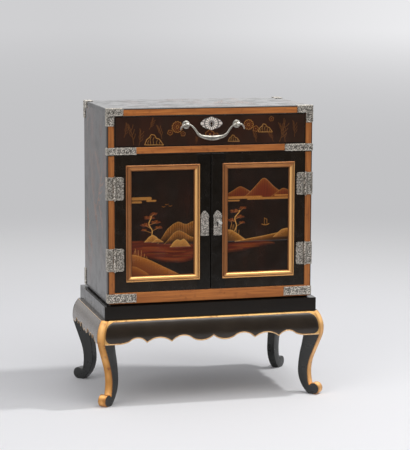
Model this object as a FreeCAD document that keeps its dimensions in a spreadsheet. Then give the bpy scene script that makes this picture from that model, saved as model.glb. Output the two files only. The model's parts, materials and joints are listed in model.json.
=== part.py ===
"""A lacquered cabinet on a stand: one drawer over two doors, on S-shaped legs.

Millimetres, +Z up. The origin lies on the floor under the middle of the stand, and the front
faces -Y. Left and right are those of someone who stands in front of the cabinet.
"""
import FreeCAD
import Part
import Sketcher
import math
import os

Vector = FreeCAD.Vector
Rotation = FreeCAD.Rotation
DIAGONAL = math.sqrt(0.5)
LEFT, RIGHT = -1, 1

doc = FreeCAD.newDocument("cabinet_on_stand")
sheet = doc.addObject("Spreadsheet::Sheet", "Sizes")

DRIVING_SIZES = [
    ("case_width", 400, "case across the front"),
    ("case_depth", 226, "case from front to back"),
    ("case_height", 368, "case from its underside to its top"),
    ("board", 12, "thickness of the case's sides, top and bottom"),
    ("top_lap", 6, "how far the sides and back reach up into the top"),
    ("back_board", 6, "thickness of the back"),
    ("back_lap", 6, "how far the back laps over each side"),
    ("facing", 10, "depth of the front stiles and rails"),
    ("stile_width", 13, "front stile, seen from the front"),
    ("top_rail", 13, "height of the top front rail"),
    ("middle_rail", 14, "height of the rail between drawer and doors"),
    ("bottom_rail", 21, "height of the bottom front rail"),
    ("drawer_opening", 59, "height of the drawer's opening"),
    ("dust_board", 8, "thickness of the board that the drawer runs on"),
    ("shelf", 9, "thickness of the shelf"),
    ("shelf_rise", 142, "top of the shelf above the cupboard's floor"),
    ("shelf_setback", 34, "front of the shelf behind the front of the case"),
    ("cleat", 9, "side of the square shelf cleats"),
    ("door_stop", 6, "depth of the battens that the doors close against"),
    ("door_stop_lap", 8, "how far a batten overlaps its door"),
    ("edge_round", 0.7, "rounding on the edges of boards"),
    ("base_gap", 3, "shadow gap between the case and the stand"),
    ("base_setback", 5, "base board behind the faces of the case"),
    ("seat_depth", 5, "how far the base board sinks into the stand"),
    ("seat_play", 0.3, "play between the base board and its seat"),
    ("frame_overhang", 8.4, "stand frame beyond the faces of the case"),
    ("frame_height", 26, "height of the stand frame"),
    ("frame_rail", 40, "width of the stand frame's rails"),
    ("leg_height", 165, "floor to the underside of the stand frame"),
    ("leg_thickness", 16.5, "thickness of the leg boards"),
    ("leg_knee_drop", 52, "height of the knee's curve"),
    ("leg_knee_out", 10.5, "lower end of the knee beyond the frame's corner"),
    ("leg_knee_radius", 47, "curve of the knee"),
    ("leg_calf_height", 76.2, "where the hollow of the calf begins"),
    ("leg_calf_in", 5.1, "start of the calf inside the frame's corner"),
    ("leg_calf_radius", 85, "hollow curve of the calf"),
    ("scroll_radius", 11.5, "curl of the foot"),
    ("scroll_out", 1.5, "middle of the curl beyond the frame's corner"),
    ("scroll_notch_in", 8, "notch above the curl, inside the frame's corner"),
    ("heel_in", 10, "back end of the foot's flat"),
    ("heel_height", 49, "where the heel's curve ends"),
    ("heel_reach", 33.5, "back of the heel inside the frame's corner"),
    ("heel_radius", 59.5, "curve of the heel"),
    ("shin_height", 97, "where the back of the leg turns straight"),
    ("shin_in", 26, "back of the leg there, inside the frame's corner"),
    ("shin_radius", 220, "curve of the back of the leg"),
    ("leg_waist_in", 21.5, "back of the leg just under the aprons"),
    ("leg_head_in", 32, "back of the leg behind the aprons"),
    ("leg_head_drop", 36, "height of the leg behind the aprons"),
    ("tenon_near", 8, "tenon's outer face inside the frame's corner"),
    ("tenon_far", 26, "tenon's inner face inside the frame's corner"),
    ("tenon_thickness", 8, "thickness of the leg's tenon"),
    ("tenon_height", 10, "height of the leg's tenon"),
    ("tenon_play", 0.15, "play round the leg's tenon"),
    ("apron_height", 44.5, "height of the aprons"),
    ("apron_inset", 9, "back of the aprons behind the frame's face"),
    ("apron_top_out", 5.3, "top of the aprons beyond the frame's face"),
    ("apron_foot_out", 14.4, "lower edge of the aprons beyond the frame's face"),
    ("apron_belly_radius", 65, "bulge of the aprons"),
    ("scallop_rise", 8.6, "height of the scalloped arches"),
    ("scallop_notch", 9.5, "height of the notch in the middle"),
    ("scallop_cusp", 1, "height of the cusps between arches"),
    ("scallop_turn", 4.5, "height where a lobe turns into an arch"),
    ("scallop_lobe", 6.5, "bulge of the middle lobes"),
    ("front_lobe", 40, "front apron: half of the middle lobes"),
    ("front_arch_inner", 42, "front apron: arch beside the lobe"),
    ("front_arch_middle", 48, "front apron: middle arch"),
    ("front_arch_outer", 34, "front apron: arch towards the leg"),
    ("front_ease", 21, "front apron: curve down to the plain end"),
    ("side_lobe", 22, "side apron: half of the middle lobes"),
    ("side_arch_inner", 24, "side apron: arch beside the lobe"),
    ("side_arch_middle", 27, "side apron: middle arch"),
    ("side_arch_outer", 19, "side apron: arch towards the leg"),
    ("side_ease", 12, "side apron: curve down to the plain end"),
    ("mount_plate", 1.0, "thickness of the metal mounts"),
    ("mount_wrap", 13, "how far a mount wraps round a corner"),
    ("corner_run", 30.5, "top corner mount along the top rail"),
    ("corner_drop", 32, "top corner mount down the stile"),
    ("rail_strap_run", 55, "strap along the middle rail"),
    ("foot_strap_run", 54.5, "strap along the bottom rail"),
    ("foot_strap_height", 17, "height of the bottom strap"),
    ("back_mount_run", 30, "back corner mount along the side"),
    ("back_mount_drop", 34, "back corner mount up or down the side"),
    ("run_gap", 0.3, "drawer above the board that it runs on"),
    ("drawer_gap", 0.6, "gap at the drawer front's ends and top"),
    ("drawer_face", 16, "thickness of the drawer front"),
    ("drawer_side", 8, "thickness of the drawer's sides and back"),
    ("drawer_side_height", 48, "height of the drawer's sides"),
    ("drawer_lap", 10, "how far the sides run into the drawer front"),
    ("drawer_floor", 5, "thickness of the drawer's bottom"),
    ("drawer_floor_rise", 5, "drawer's bottom above the sides' lower edges"),
    ("drawer_groove", 4, "depth of the grooves for the drawer's bottom"),
    ("drawer_stop_gap", 0.4, "drawer in front of the case's back"),
    ("post_spacing", 98.4, "distance between the handle's posts"),
    ("post_rise", 40.5, "posts above the drawer's opening's lower edge"),
    ("post_reach", 9.5, "drawer front to the bail's axis"),
    ("rosette_radius", 7.5, "round plate under a post"),
    ("rosette_thickness", 2, "height of that plate"),
    ("rosette_edge", 0.8, "height of that plate's rim"),
    ("rosette_dome", 9.4, "curve of that plate's top"),
    ("post_neck", 2.8, "radius of the post's neck"),
    ("post_ball", 5, "radius of the post's ball"),
    ("shank_radius", 2.5, "radius of the post's shank"),
    ("shank_play", 0.1, "play round the shank"),
    ("shank_tail", 5, "shank behind the drawer front"),
    ("nut_radius", 5.5, "radius of the nut on a shank"),
    ("nut_thickness", 3, "thickness of that nut"),
    ("bail_rod", 1.7, "radius of the bail in its posts"),
    ("bail_play", 0.06, "play round the bail in its posts"),
    ("bail_clear", 1.2, "straight rod beyond each side of a post's ball"),
    ("bail_bend_in", 3.4, "neck's bend inside the straight rod"),
    ("bail_bend_drop", 2.55, "neck's bend below the bail's axis"),
    ("bail_neck", 1.955, "half height of the neck at its middle"),
    ("bail_neck_depth", 1.87, "half depth of the neck at its middle"),
    ("bail_end", 26, "half of the grip's length"),
    ("bail_end_drop", 19, "ends of the grip below the bail's axis"),
    ("bail_end_grip", 2.475, "half height of the grip at its ends"),
    ("bail_end_depth", 2, "half depth of the grip at its ends"),
    ("bail_side_drop", 23.875, "grip halfway to its ends, below the bail's axis"),
    ("bail_side_grip", 3.825, "half height of the grip halfway to its ends"),
    ("bail_drop", 25.5, "middle of the grip below the bail's axis"),
    ("bail_grip", 4.5, "half height of the grip at its middle"),
    ("bail_grip_depth", 2.5, "half depth of the grip at its middle"),
    ("bail_tail_bend_out", 3.9, "tail's bend beyond the straight rod"),
    ("bail_tail_bend_drop", 2.85, "tail's bend below the bail's axis"),
    ("bail_tail_bend", 1.53, "radius of the tail at its bend"),
    ("bail_tail_out", 6.5, "tail beyond the straight rod"),
    ("bail_tail_drop", 9.5, "tip of the tail below the bail's axis"),
    ("bail_tip", 0.9, "radius of the tail's tip"),
    ("lock_rise", 42, "keyhole above the drawer's opening's lower edge"),
    ("key_radius", 2.8, "round part of a keyhole"),
    ("key_slot", 2.4, "width of a keyhole's slot"),
    ("key_length", 6.8, "keyhole's slot below its middle"),
    ("escutcheon_width", 43.3, "drawer's keyhole plate, tip to tip"),
    ("escutcheon_height", 25, "height of the drawer's keyhole plate"),
    ("escutcheon_plate", 1.0, "thickness of the drawer's keyhole plate"),
    ("escutcheon_lobe", 5.6, "half width of its top lobe"),
    ("escutcheon_shoulder", 13.6, "its shoulders from the middle"),
    ("escutcheon_shoulder_rise", 7.4, "its shoulders above the middle"),
    ("escutcheon_radius", 7.5, "curve of its lobes"),
    ("escutcheon_tip_radius", 15, "curve of its pointed ends"),
    ("lock_width", 40, "drawer lock's case"),
    ("lock_above", 14, "drawer lock's case above the keyhole"),
    ("lock_below", 16, "drawer lock's case below the keyhole"),
    ("lock_depth", 8, "depth of the lock cases"),
    ("bolt_width", 12, "drawer bolt along the drawer front"),
    ("bolt_length", 14, "length of the drawer bolt"),
    ("bolt_thickness", 4, "thickness of both bolts"),
    ("bolt_play", 0.3, "play round both bolts"),
    ("bolt_throw", 6, "travel of both bolts"),
    ("bolt_sink", 0.6, "rest of a bolt below its edge"),
    ("door_thickness", 16, "thickness of the door frames"),
    ("hinge_gap", 0.7, "gap between a door and its stile"),
    ("meeting_gap", 2, "gap between the doors"),
    ("door_play", 0.8, "gap above and below the doors"),
    ("moulding_margin", 21, "door's edge to the moulding at the sides"),
    ("moulding_margin_end", 19, "door's edge to the moulding above and below"),
    ("moulding_width", 11.5, "width of the gilt moulding"),
    ("moulding_seat", 6, "part of the moulding that lies on the frame"),
    ("moulding_edge", 1.2, "height of the moulding's outer edge"),
    ("moulding_bead", 3.2, "width of the moulding's outer bead"),
    ("moulding_bead_radius", 1.8, "curve of that bead"),
    ("moulding_quirk", 0.5, "flat between bead and ovolo"),
    ("moulding_step", 2.4, "height where the ovolo begins"),
    ("moulding_ovolo_radius", 4.6, "curve of the moulding's ovolo"),
    ("moulding_toe", 1.0, "flat at the moulding's inner edge"),
    ("moulding_toe_sink", 1.5, "that flat below the door's face"),
    ("panel", 5, "thickness of the door panels"),
    ("panel_recess", 3, "door panel behind the door's face"),
    ("panel_groove", 5, "depth of the grooves for the panel"),
    ("hinge_height", 43.5, "height of the hinges"),
    ("hinge_offset", 67.6, "middle of a hinge from the middle of the door"),
    ("hinge_plate", 1.2, "thickness of the hinge leaves"),
    ("hinge_reach", 17.6, "door leaf from the pin to its end"),
    ("hinge_corner", 4, "rounded corners of the door leaf"),
    ("barrel_radius", 2.6, "outside of the hinge knuckles"),
    ("barrel_clear", 0.3, "hinge knuckles clear of wood and leaves"),
    ("pin_radius", 1.2, "radius of the hinge pins"),
    ("pin_play", 0.05, "play round the hinge pins"),
    ("pin_tip", 1.6, "hinge pin beyond the knuckles"),
    ("plate_width", 17.5, "width of the lock plates"),
    ("plate_height", 48.5, "height of the lock plates"),
    ("plate_thickness", 1.2, "thickness of the lock plates"),
    ("plate_inset", 3, "lock plate from the door's meeting edge"),
    ("plate_drop", 2.8, "middle of the plates below the doors' middle"),
    ("plate_arch", 13, "height of the plates' pointed arch"),
    ("plate_arch_radius", 17, "curve of the arch"),
    ("plate_shoulder", 5, "height of the shoulders below the arch"),
    ("plate_waist", 0.9, "how far the plates draw in"),
    ("plate_base", 7, "height of the plates' base"),
    ("plate_flare", 21, "curve from the plates' waist to their base"),
    ("plate_base_radius", 40, "curve of the plates' lower edge"),
    ("cover_length", 7.5, "keyhole cover from rivet to drop"),
    ("cover_head", 2.3, "radius of the cover at its rivet"),
    ("cover_drop", 3, "radius of the cover's drop"),
    ("cover_flank", 0.9, "where its straight edges meet its curves, as a part of their radii"),
    ("cover_plate", 0.9, "thickness of the keyhole cover"),
    ("cover_play", 0.15, "play before and behind the cover"),
    ("rivet_radius", 1, "radius of the cover's rivet"),
    ("rivet_head", 1.8, "radius of the rivet's head"),
    ("rivet_head_height", 0.7, "height of the rivet's head"),
    ("rivet_rise", 4.5, "rivet above the keyhole"),
    ("door_lock_width", 18, "door lock's case across the stile"),
    ("door_lock_height", 36, "height of the door lock's case"),
    ("door_lock_edge", 2, "door lock behind the meeting edge"),
    ("door_bolt_height", 9, "height of the door bolt"),
    ("door_bolt_length", 11, "length of the door bolt"),
    ("strike_spare", 1.5, "mortises deeper than their bolts reach"),
]
# Angles in degrees: the cover from upright, and the bail's path from level.
COVER_REST_ANGLE = 50
BAIL_BEND_TILT = 42
BAIL_NECK_TILT = 48
BAIL_END_TILT = 33
BAIL_SIDE_TILT = 14
TAIL_BEND_TILT = 50
TAIL_TIP_TILT = 65

for row, (alias, number, note) in enumerate(DRIVING_SIZES, start=1):
    sheet.set(f"A{row}", note)
    sheet.set(f"B{row}", str(number))
    sheet.setAlias(f"B{row}", alias)
doc.recompute()


class Size:
    """A length with the expression that gives it, so that sums of sizes stay bound to the sheet."""

    def __init__(self, value, text):
        self.value = value
        self.text = text

    def __add__(self, other):
        other = as_size(other)
        return Size(self.value + other.value, f"({self.text} + {other.text})")

    def __sub__(self, other):
        other = as_size(other)
        return Size(self.value - other.value, f"({self.text} - {other.text})")

    def __mul__(self, other):
        other = as_size(other)
        return Size(self.value * other.value, f"({self.text} * {other.text})")

    def __truediv__(self, other):
        other = as_size(other)
        return Size(self.value / other.value, f"({self.text} / {other.text})")

    def __radd__(self, other):
        return as_size(other) + self

    def __rsub__(self, other):
        return as_size(other) - self

    def __rmul__(self, other):
        return as_size(other) * self

    def __neg__(self):
        return Size(-self.value, f"(-1 * {self.text})")


def as_size(number):
    return number if isinstance(number, Size) else Size(float(number), repr(float(number)))


def root(size):
    return Size(math.sqrt(size.value), f"sqrt({size.text})")


def arc_radius(chord, rise):
    """Radius of the arc that rises so far above its chord."""
    return (chord * chord / 4 + rise * rise) / (2 * rise)


class Sizes:
    """The driving sizes by name, as they stand in the sheet."""

    def __getattr__(self, alias):
        return Size(float(sheet.get(alias)), f"Sizes.{alias}")


s = Sizes()

# Lines and planes that several pieces share.
half_width = s.case_width / 2
half_depth = s.case_depth / 2
frame_half_width = half_width + s.frame_overhang
frame_half_depth = half_depth + s.frame_overhang
frame_top = s.leg_height + s.frame_height
case_low = frame_top + s.base_gap
case_high = case_low + s.case_height
front = -half_depth
facing_back = front + s.facing
inside = half_width - s.board
inside_back = half_depth - s.back_board
opening = half_width - s.stile_width
floor_high = case_low + s.board
top_low = case_high - s.board
drawer_line_high = case_high - s.top_rail
drawer_line_low = drawer_line_high - s.drawer_opening
door_line_high = drawer_line_low - s.middle_rail
door_line_low = case_low + s.bottom_rail
door_middle = (door_line_low + door_line_high) / 2
door_back = front + s.door_thickness
hinge_y = front - s.barrel_radius - s.barrel_clear
plate_middle = door_middle - s.plate_drop
drawer_low = drawer_line_low + s.run_gap
drawer_half = opening - s.drawer_gap
drawer_face_back = front + s.drawer_face
keyhole_z = drawer_line_low + s.lock_rise
post_z = drawer_line_low + s.post_rise
bail_y = front - s.post_reach

sub_parts = []


def sub_part(label, thing):
    """Give a finished piece its name and put it on the list of pieces."""
    thing.Label = label
    sub_parts.append(thing)
    return thing


def bind(thing, name, size):
    """Tie one property of an object to a size of the sheet."""
    thing.setExpression(name, as_size(size).text)


def put(thing, x=0, y=0, z=0, turn=None):
    """Place an object, turned first and then moved."""
    if turn is not None:
        thing.Placement = FreeCAD.Placement(Vector(), turn)
    bind(thing, "Placement.Base.x", x)
    bind(thing, "Placement.Base.y", y)
    bind(thing, "Placement.Base.z", z)
    return thing


def about(axis, degrees):
    return Rotation(axis, degrees)


UP = Vector(0, 0, 1)
BACK = Vector(0, 1, 0)
ACROSS = Vector(1, 0, 0)


def both_ways(reach):
    return (-reach, reach)


def both_from(middle, reach):
    return (middle - reach, middle + reach)


def sorted_span(one, other):
    return (one, other) if one.value < other.value else (other, one)


def on_side(side, near, far):
    """A span of x from the middle outwards, on the left or the right."""
    return (near, far) if side == RIGHT else (-far, -near)


def board(x, y, z):
    """A block between two faces on each axis."""
    block = doc.addObject("Part::Box", "Board")
    for name, (low, high) in zip(("Length", "Width", "Height"), (x, y, z)):
        bind(block, name, as_size(high) - low)
    return put(block, x[0], y[0], z[0])


def rod(axis, radius, span, across):
    """A round bar along x, y or z between two places on it; across gives its other two places."""
    bar = doc.addObject("Part::Cylinder", "Rod")
    bind(bar, "Radius", radius)
    bind(bar, "Height", as_size(span[1]) - span[0])
    first, second = across
    start, along = {
        "x": ((span[0], first, second), ACROSS),
        "y": ((first, span[0], second), BACK),
        "z": ((first, second, span[0]), UP),
    }[axis]
    return put(bar, *start, turn=Rotation(UP, along))


def cut(base, *tools):
    """A piece with holes, grooves or rebates taken out of it."""
    piece = doc.addObject("Part::Cut", "Cut")
    piece.Base = base
    piece.Tool = tools[0] if len(tools) == 1 else fuse(*tools)
    return piece


def fuse(*shapes):
    piece = doc.addObject("Part::MultiFuse", "Fuse")
    piece.Shapes = list(shapes)
    return piece


def group(*shapes):
    """Like pieces that share one node as separate solids."""
    piece = doc.addObject("Part::Compound", "Group")
    piece.Links = list(shapes)
    return piece


def eased(block):
    """A board with all its edges slightly rounded."""
    doc.recompute()
    piece = doc.addObject("Part::Fillet", "Eased")
    piece.Base = block
    radius = s.edge_round.value
    piece.Edges = [(index + 1, radius, radius) for index in range(len(block.Shape.Edges))]
    return piece


def new_body():
    return doc.addObject("PartDesign::Body", "Body")


def sketch_on(body, role, shift=0):
    """A sketch on one of the body's own planes, moved along that plane's normal."""
    sketch = body.newObject("Sketcher::SketchObject", "Sketch")
    plane = next(feature for feature in body.Origin.OriginFeatures if feature.Role == role)
    sketch.AttachmentSupport = (plane, [""])
    sketch.MapMode = "FlatFace"
    bind(sketch, "AttachmentOffset.Base.z", shift)
    return sketch


def dimension(sketch, kind, *where, size):
    size = as_size(size)
    index = sketch.addConstraint(Sketcher.Constraint(kind, *where, size.value))
    sketch.setExpression(f"Constraints[{index}]", size.text)


def line(x, y):
    return (as_size(x), as_size(y), None, True, False)


def arc(x, y, radius, left=True, long=False):
    return (as_size(x), as_size(y), as_size(radius), left, long)


def arc_geometry(begin, end, radius, left, long):
    """The arc of a radius between two points, with the marks of its first and last point."""
    chord = end - begin
    rise = math.sqrt(max(radius ** 2 - chord.Length ** 2 / 4, 0.0))
    towards_left = Vector(-chord.y, chord.x, 0).normalize()
    centre = (begin + end) * 0.5 + towards_left * (rise if left != long else -rise)
    angles = [math.atan2(point.y - centre.y, point.x - centre.x) for point in (begin, end)]
    low, high = angles if left else reversed(angles)
    circle = Part.Circle(centre, UP, radius)
    marks = (1, 2) if left else (2, 1)
    return Part.ArcOfCircle(circle, low, high if high > low else high + 2 * math.pi), marks


def outline(sketch, *steps):
    """A closed outline. Each step runs on to its point, and the first step closes the outline."""
    starts = [steps[-1], *steps[:-1]]
    pieces = []
    for start, (x, y, radius, left, long) in zip(starts, steps):
        begin = Vector(start[0].value, start[1].value, 0)
        end = Vector(x.value, y.value, 0)
        if radius is None:
            pieces.append((sketch.addGeometry(Part.LineSegment(begin, end), False), 1, 2))
        else:
            geometry, marks = arc_geometry(begin, end, radius.value, left, long)
            pieces.append((sketch.addGeometry(geometry, False), *marks))
    for piece, following, step in zip(pieces, [*pieces[1:], pieces[0]], steps):
        index, first, last = piece
        sketch.addConstraint(Sketcher.Constraint("Coincident", index, last, following[0], following[1]))
        dimension(sketch, "DistanceX", -1, 1, index, last, size=step[0])
        dimension(sketch, "DistanceY", -1, 1, index, last, size=step[1])
        if step[2] is not None:
            dimension(sketch, "Radius", index, size=step[2])
    return sketch


def pad(body, sketch, length, symmetric=False, reverse=False):
    feature = body.newObject("PartDesign::Pad", "Pad")
    feature.Profile = sketch
    feature.SideType = "Symmetric" if symmetric else "One side"
    feature.Reversed = reverse
    bind(feature, "Length", length)
    return feature


def pocket_through(body, sketch):
    """A cut right through the body, both ways from its sketch."""
    feature = body.newObject("PartDesign::Pocket", "Pocket")
    feature.Profile = sketch
    feature.Type = "ThroughAll"
    feature.SideType = "Symmetric"
    return feature


def pocket(body, sketch, depth, reverse=False):
    feature = body.newObject("PartDesign::Pocket", "Pocket")
    feature.Profile = sketch
    feature.Reversed = reverse
    bind(feature, "Length", depth)
    return feature


def stand_rail(label, half_length, reach, quarter_turns):
    """A mitred frame rail, rebated for the case's base and mortised for the legs' tenons.

    It is drawn as the front rail, reach in front of the middle, and turned to its side.
    """
    body = new_body()
    plan = outline(
        sketch_on(body, "XY_Plane", s.leg_height),
        line(-half_length, -reach),
        line(half_length, -reach),
        line(half_length - s.frame_rail, s.frame_rail - reach),
        line(s.frame_rail - half_length, s.frame_rail - reach),
    )
    pad(body, plan, s.frame_height)
    lip = s.frame_overhang + s.base_setback - s.seat_play
    rebate = outline(
        sketch_on(body, "XY_Plane", frame_top),
        line(lip - half_length, lip - reach),
        line(half_length - lip, lip - reach),
        line(half_length - s.frame_rail, s.frame_rail - reach),
        line(s.frame_rail - half_length, s.frame_rail - reach),
    )
    pocket(body, rebate, s.seat_depth)
    mortises = sketch_on(body, "XY_Plane", s.leg_height)
    near = s.tenon_near - s.tenon_play
    far = s.tenon_far + s.tenon_play
    half = s.tenon_thickness / 2 + s.tenon_play
    for side in (LEFT, RIGHT):
        outline(mortises, *(
            line(side * (half_length - (depth - off) * DIAGONAL), (depth + off) * DIAGONAL - reach)
            for depth, off in ((near, -half), (near, half), (far, half), (far, -half))
        ))
    pocket(body, mortises, s.tenon_height + s.tenon_play, reverse=True)
    return sub_part(label, put(body, turn=about(UP, 90 * quarter_turns)))


def scallop_steps(widths, low):
    """The scalloped edge from the middle to one end, as steps towards +X."""
    lobe, inner, middle, outer, ease = widths
    turn_z = low + s.scallop_turn
    cusp_z = low + s.scallop_cusp
    x_inner = lobe + inner
    x_middle = x_inner + middle
    x_outer = x_middle + outer
    x_ease = x_outer + ease
    ease_radius = (ease * ease + s.scallop_turn * s.scallop_turn) / (2 * s.scallop_turn)
    return [
        arc(lobe, turn_z, arc_radius(lobe, s.scallop_lobe)),
        arc(x_inner, cusp_z, arc_radius(inner, s.scallop_rise), left=False),
        arc(x_middle, cusp_z, arc_radius(middle, s.scallop_rise), left=False),
        arc(x_outer, turn_z, arc_radius(outer, s.scallop_rise - s.scallop_cusp), left=False),
        arc(x_ease, low, ease_radius),
    ]


def mirrored_steps(steps, middle):
    """The same edge on the other side, run from the far end to the middle."""
    points = [middle, *steps]
    back = []
    for index in range(len(steps) - 1, -1, -1):
        x, y = points[index][0], points[index][1]
        radius, left, long = steps[index][2:]
        back.append((-x, y, radius, left, long))
    return back


def apron(label, half_length, reach, quarter_turns, widths):
    """A bulging apron, cut to butt against the legs and scalloped along its lower edge."""
    body = new_body()
    low = s.leg_height - s.apron_height
    section = outline(
        sketch_on(body, "YZ_Plane"),
        line(-(reach + s.apron_top_out), s.leg_height),
        arc(-(reach + s.apron_foot_out), low, s.apron_belly_radius),
        line(s.apron_inset - reach, low),
        line(s.apron_inset - reach, s.leg_height),
    )
    pad(body, section, 2 * (half_length + s.apron_foot_out), symmetric=True)
    flat = half_length - s.leg_thickness * DIAGONAL
    outer = s.apron_foot_out + s.leg_thickness
    inner = s.apron_inset + s.leg_thickness
    ends = sketch_on(body, "XY_Plane")
    for side in (LEFT, RIGHT):
        outline(
            ends,
            line(side * (flat - inner), inner - reach),
            line(side * (flat + outer), -(reach + outer)),
            line(side * (flat + outer), inner - reach),
        )
    pocket_through(body, ends)
    middle = line(0, low + s.scallop_notch)
    right_half = scallop_steps(widths, low)
    left_half = mirrored_steps(right_half, middle)
    far = half_length + outer
    under = low - s.scallop_rise
    scallops = outline(
        sketch_on(body, "XZ_Plane"),
        line(-right_half[-1][0], low),
        *left_half,
        *right_half,
        line(far, low),
        line(far, under),
        line(-far, under),
        line(-far, low),
    )
    pocket_through(body, scallops)
    return sub_part(label, put(body, turn=about(UP, 90 * quarter_turns)))


def leg(label, side_x, side_y):
    """An S-profile leg on the diagonal of its corner, with a scroll foot and a tenon on top."""
    body = new_body()
    top = s.leg_height
    across_notch = s.scroll_notch_in + s.scroll_out
    notch_z = s.scroll_radius + root(s.scroll_radius * s.scroll_radius - across_notch * across_notch)
    apron_low = top - s.apron_height
    profile = outline(
        sketch_on(body, "XZ_Plane"),
        line(0, top),
        arc(s.leg_knee_out, top - s.leg_knee_drop, s.leg_knee_radius, left=False),
        line(-s.leg_calf_in, s.leg_calf_height),
        arc(-s.scroll_notch_in, notch_z, s.leg_calf_radius),
        arc(s.scroll_out, 0, s.scroll_radius, left=False, long=True),
        line(-s.heel_in, 0),
        arc(-s.heel_reach, s.heel_height, s.heel_radius, left=False),
        arc(-s.shin_in, s.shin_height, s.shin_radius, left=False),
        line(-s.leg_waist_in, apron_low),
        line(-s.leg_head_in, top - s.leg_head_drop),
        line(-s.leg_head_in, top),
    )
    pad(body, profile, s.leg_thickness, symmetric=True)
    half_tenon = s.tenon_thickness / 2
    tenon = outline(
        sketch_on(body, "XY_Plane", top),
        line(-s.tenon_near, -half_tenon),
        line(-s.tenon_near, half_tenon),
        line(-s.tenon_far, half_tenon),
        line(-s.tenon_far, -half_tenon),
    )
    pad(body, tenon, s.tenon_height)
    outward = math.degrees(math.atan2(side_y, side_x))
    return sub_part(
        label, put(body, side_x * frame_half_width, side_y * frame_half_depth, 0, turn=about(UP, outward))
    )


def build_stand():
    front_widths = (
        s.front_lobe, s.front_arch_inner, s.front_arch_middle, s.front_arch_outer, s.front_ease)
    side_widths = (
        s.side_lobe, s.side_arch_inner, s.side_arch_middle, s.side_arch_outer, s.side_ease)
    for quarter_turns, place in enumerate(("front", "right", "back", "left")):
        along_width = place in ("front", "back")
        half_length = frame_half_width if along_width else frame_half_depth
        reach = frame_half_depth if along_width else frame_half_width
        widths = front_widths if along_width else side_widths
        stand_rail(f"stand_rail_{place}", half_length, reach, quarter_turns)
        apron(f"apron_{place}", half_length, reach, quarter_turns, widths)
    for side_y, depth_name in ((-1, "front"), (1, "back")):
        for side_x, side_name in ((LEFT, "left"), (RIGHT, "right")):
            leg(f"leg_{depth_name}_{side_name}", side_x, side_y)


def build_case():
    for side, name in ((LEFT, "left"), (RIGHT, "right")):
        side_board = eased(board(
            on_side(side, inside, half_width), (facing_back, half_depth), (case_low, top_low + s.top_lap)))
        back_rebate = board(
            on_side(side, inside, half_width - s.back_lap), (inside_back, half_depth),
            (case_low, top_low + s.top_lap))
        sub_part(f"case_side_{name}", cut(side_board, back_rebate))
        sub_part(f"front_stile_{name}", eased(board(
            on_side(side, opening, half_width), (front, facing_back), (case_low, case_high))))
    top_board = eased(board(both_ways(half_width), (facing_back, half_depth), (top_low, case_high)))
    lap = (top_low, top_low + s.top_lap)
    bolt_half = s.bolt_width / 2 + s.bolt_play
    sub_part("case_top", cut(
        top_board,
        board(on_side(LEFT, inside, half_width), (facing_back, half_depth), lap),
        board(on_side(RIGHT, inside, half_width), (facing_back, half_depth), lap),
        board(both_ways(half_width - s.back_lap), (inside_back, half_depth), lap),
        board(both_ways(bolt_half), drawer_bolt_slot(), (top_low, drawer_bolt_top() + s.strike_spare)),
    ))
    sub_part("case_bottom", board(both_ways(inside), (facing_back, inside_back), (case_low, floor_high)))
    sub_part("case_back", board(
        both_ways(half_width - s.back_lap), (inside_back, half_depth), (case_low, top_low + s.top_lap)))
    base_x = half_width - s.base_setback
    base_y = half_depth - s.base_setback
    sub_part("case_base", board(both_ways(base_x), both_ways(base_y), (frame_top - s.seat_depth, case_low)))
    rails = {
        "top": (drawer_line_high, case_high),
        "middle": (door_line_high, drawer_line_low),
        "bottom": (case_low, door_line_low),
    }
    for name, heights in rails.items():
        rail = eased(board(both_ways(opening), (front, facing_back), heights))
        if name == "top":
            # The bolt's mortise reaches a little into the back of the top rail, for play in front of the bolt.
            rail = cut(rail, board(
                both_ways(bolt_half), drawer_bolt_slot(), (drawer_line_high, drawer_bolt_top() + s.strike_spare)))
        sub_part(f"front_rail_{name}", rail)
    sub_part("dust_board", board(
        both_ways(inside), (facing_back, inside_back), (drawer_line_low - s.dust_board, drawer_line_low)))


def build_cupboard():
    shelf_y = (front + s.shelf_setback, inside_back)
    shelf_high = floor_high + s.shelf_rise
    shelf_low = shelf_high - s.shelf
    sub_part("cupboard_shelf", eased(board(both_ways(inside), shelf_y, (shelf_low, shelf_high))))
    cleats = [
        board(on_side(side, inside - s.cleat, inside), shelf_y, (shelf_low - s.cleat, shelf_low))
        for side in (LEFT, RIGHT)
    ]
    sub_part("shelf_cleats", group(*cleats))
    stop_y = (door_back, door_back + s.door_stop)
    sub_part("door_stops", group(
        board(both_ways(inside), stop_y, (floor_high, door_line_low + s.door_stop_lap)),
        board(both_ways(inside), stop_y, (door_line_high - s.door_stop_lap, drawer_line_low - s.dust_board)),
    ))


def pair(make):
    """The same mount on the left and on the right."""
    return group(*(make(side) for side in (LEFT, RIGHT)))


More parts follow.
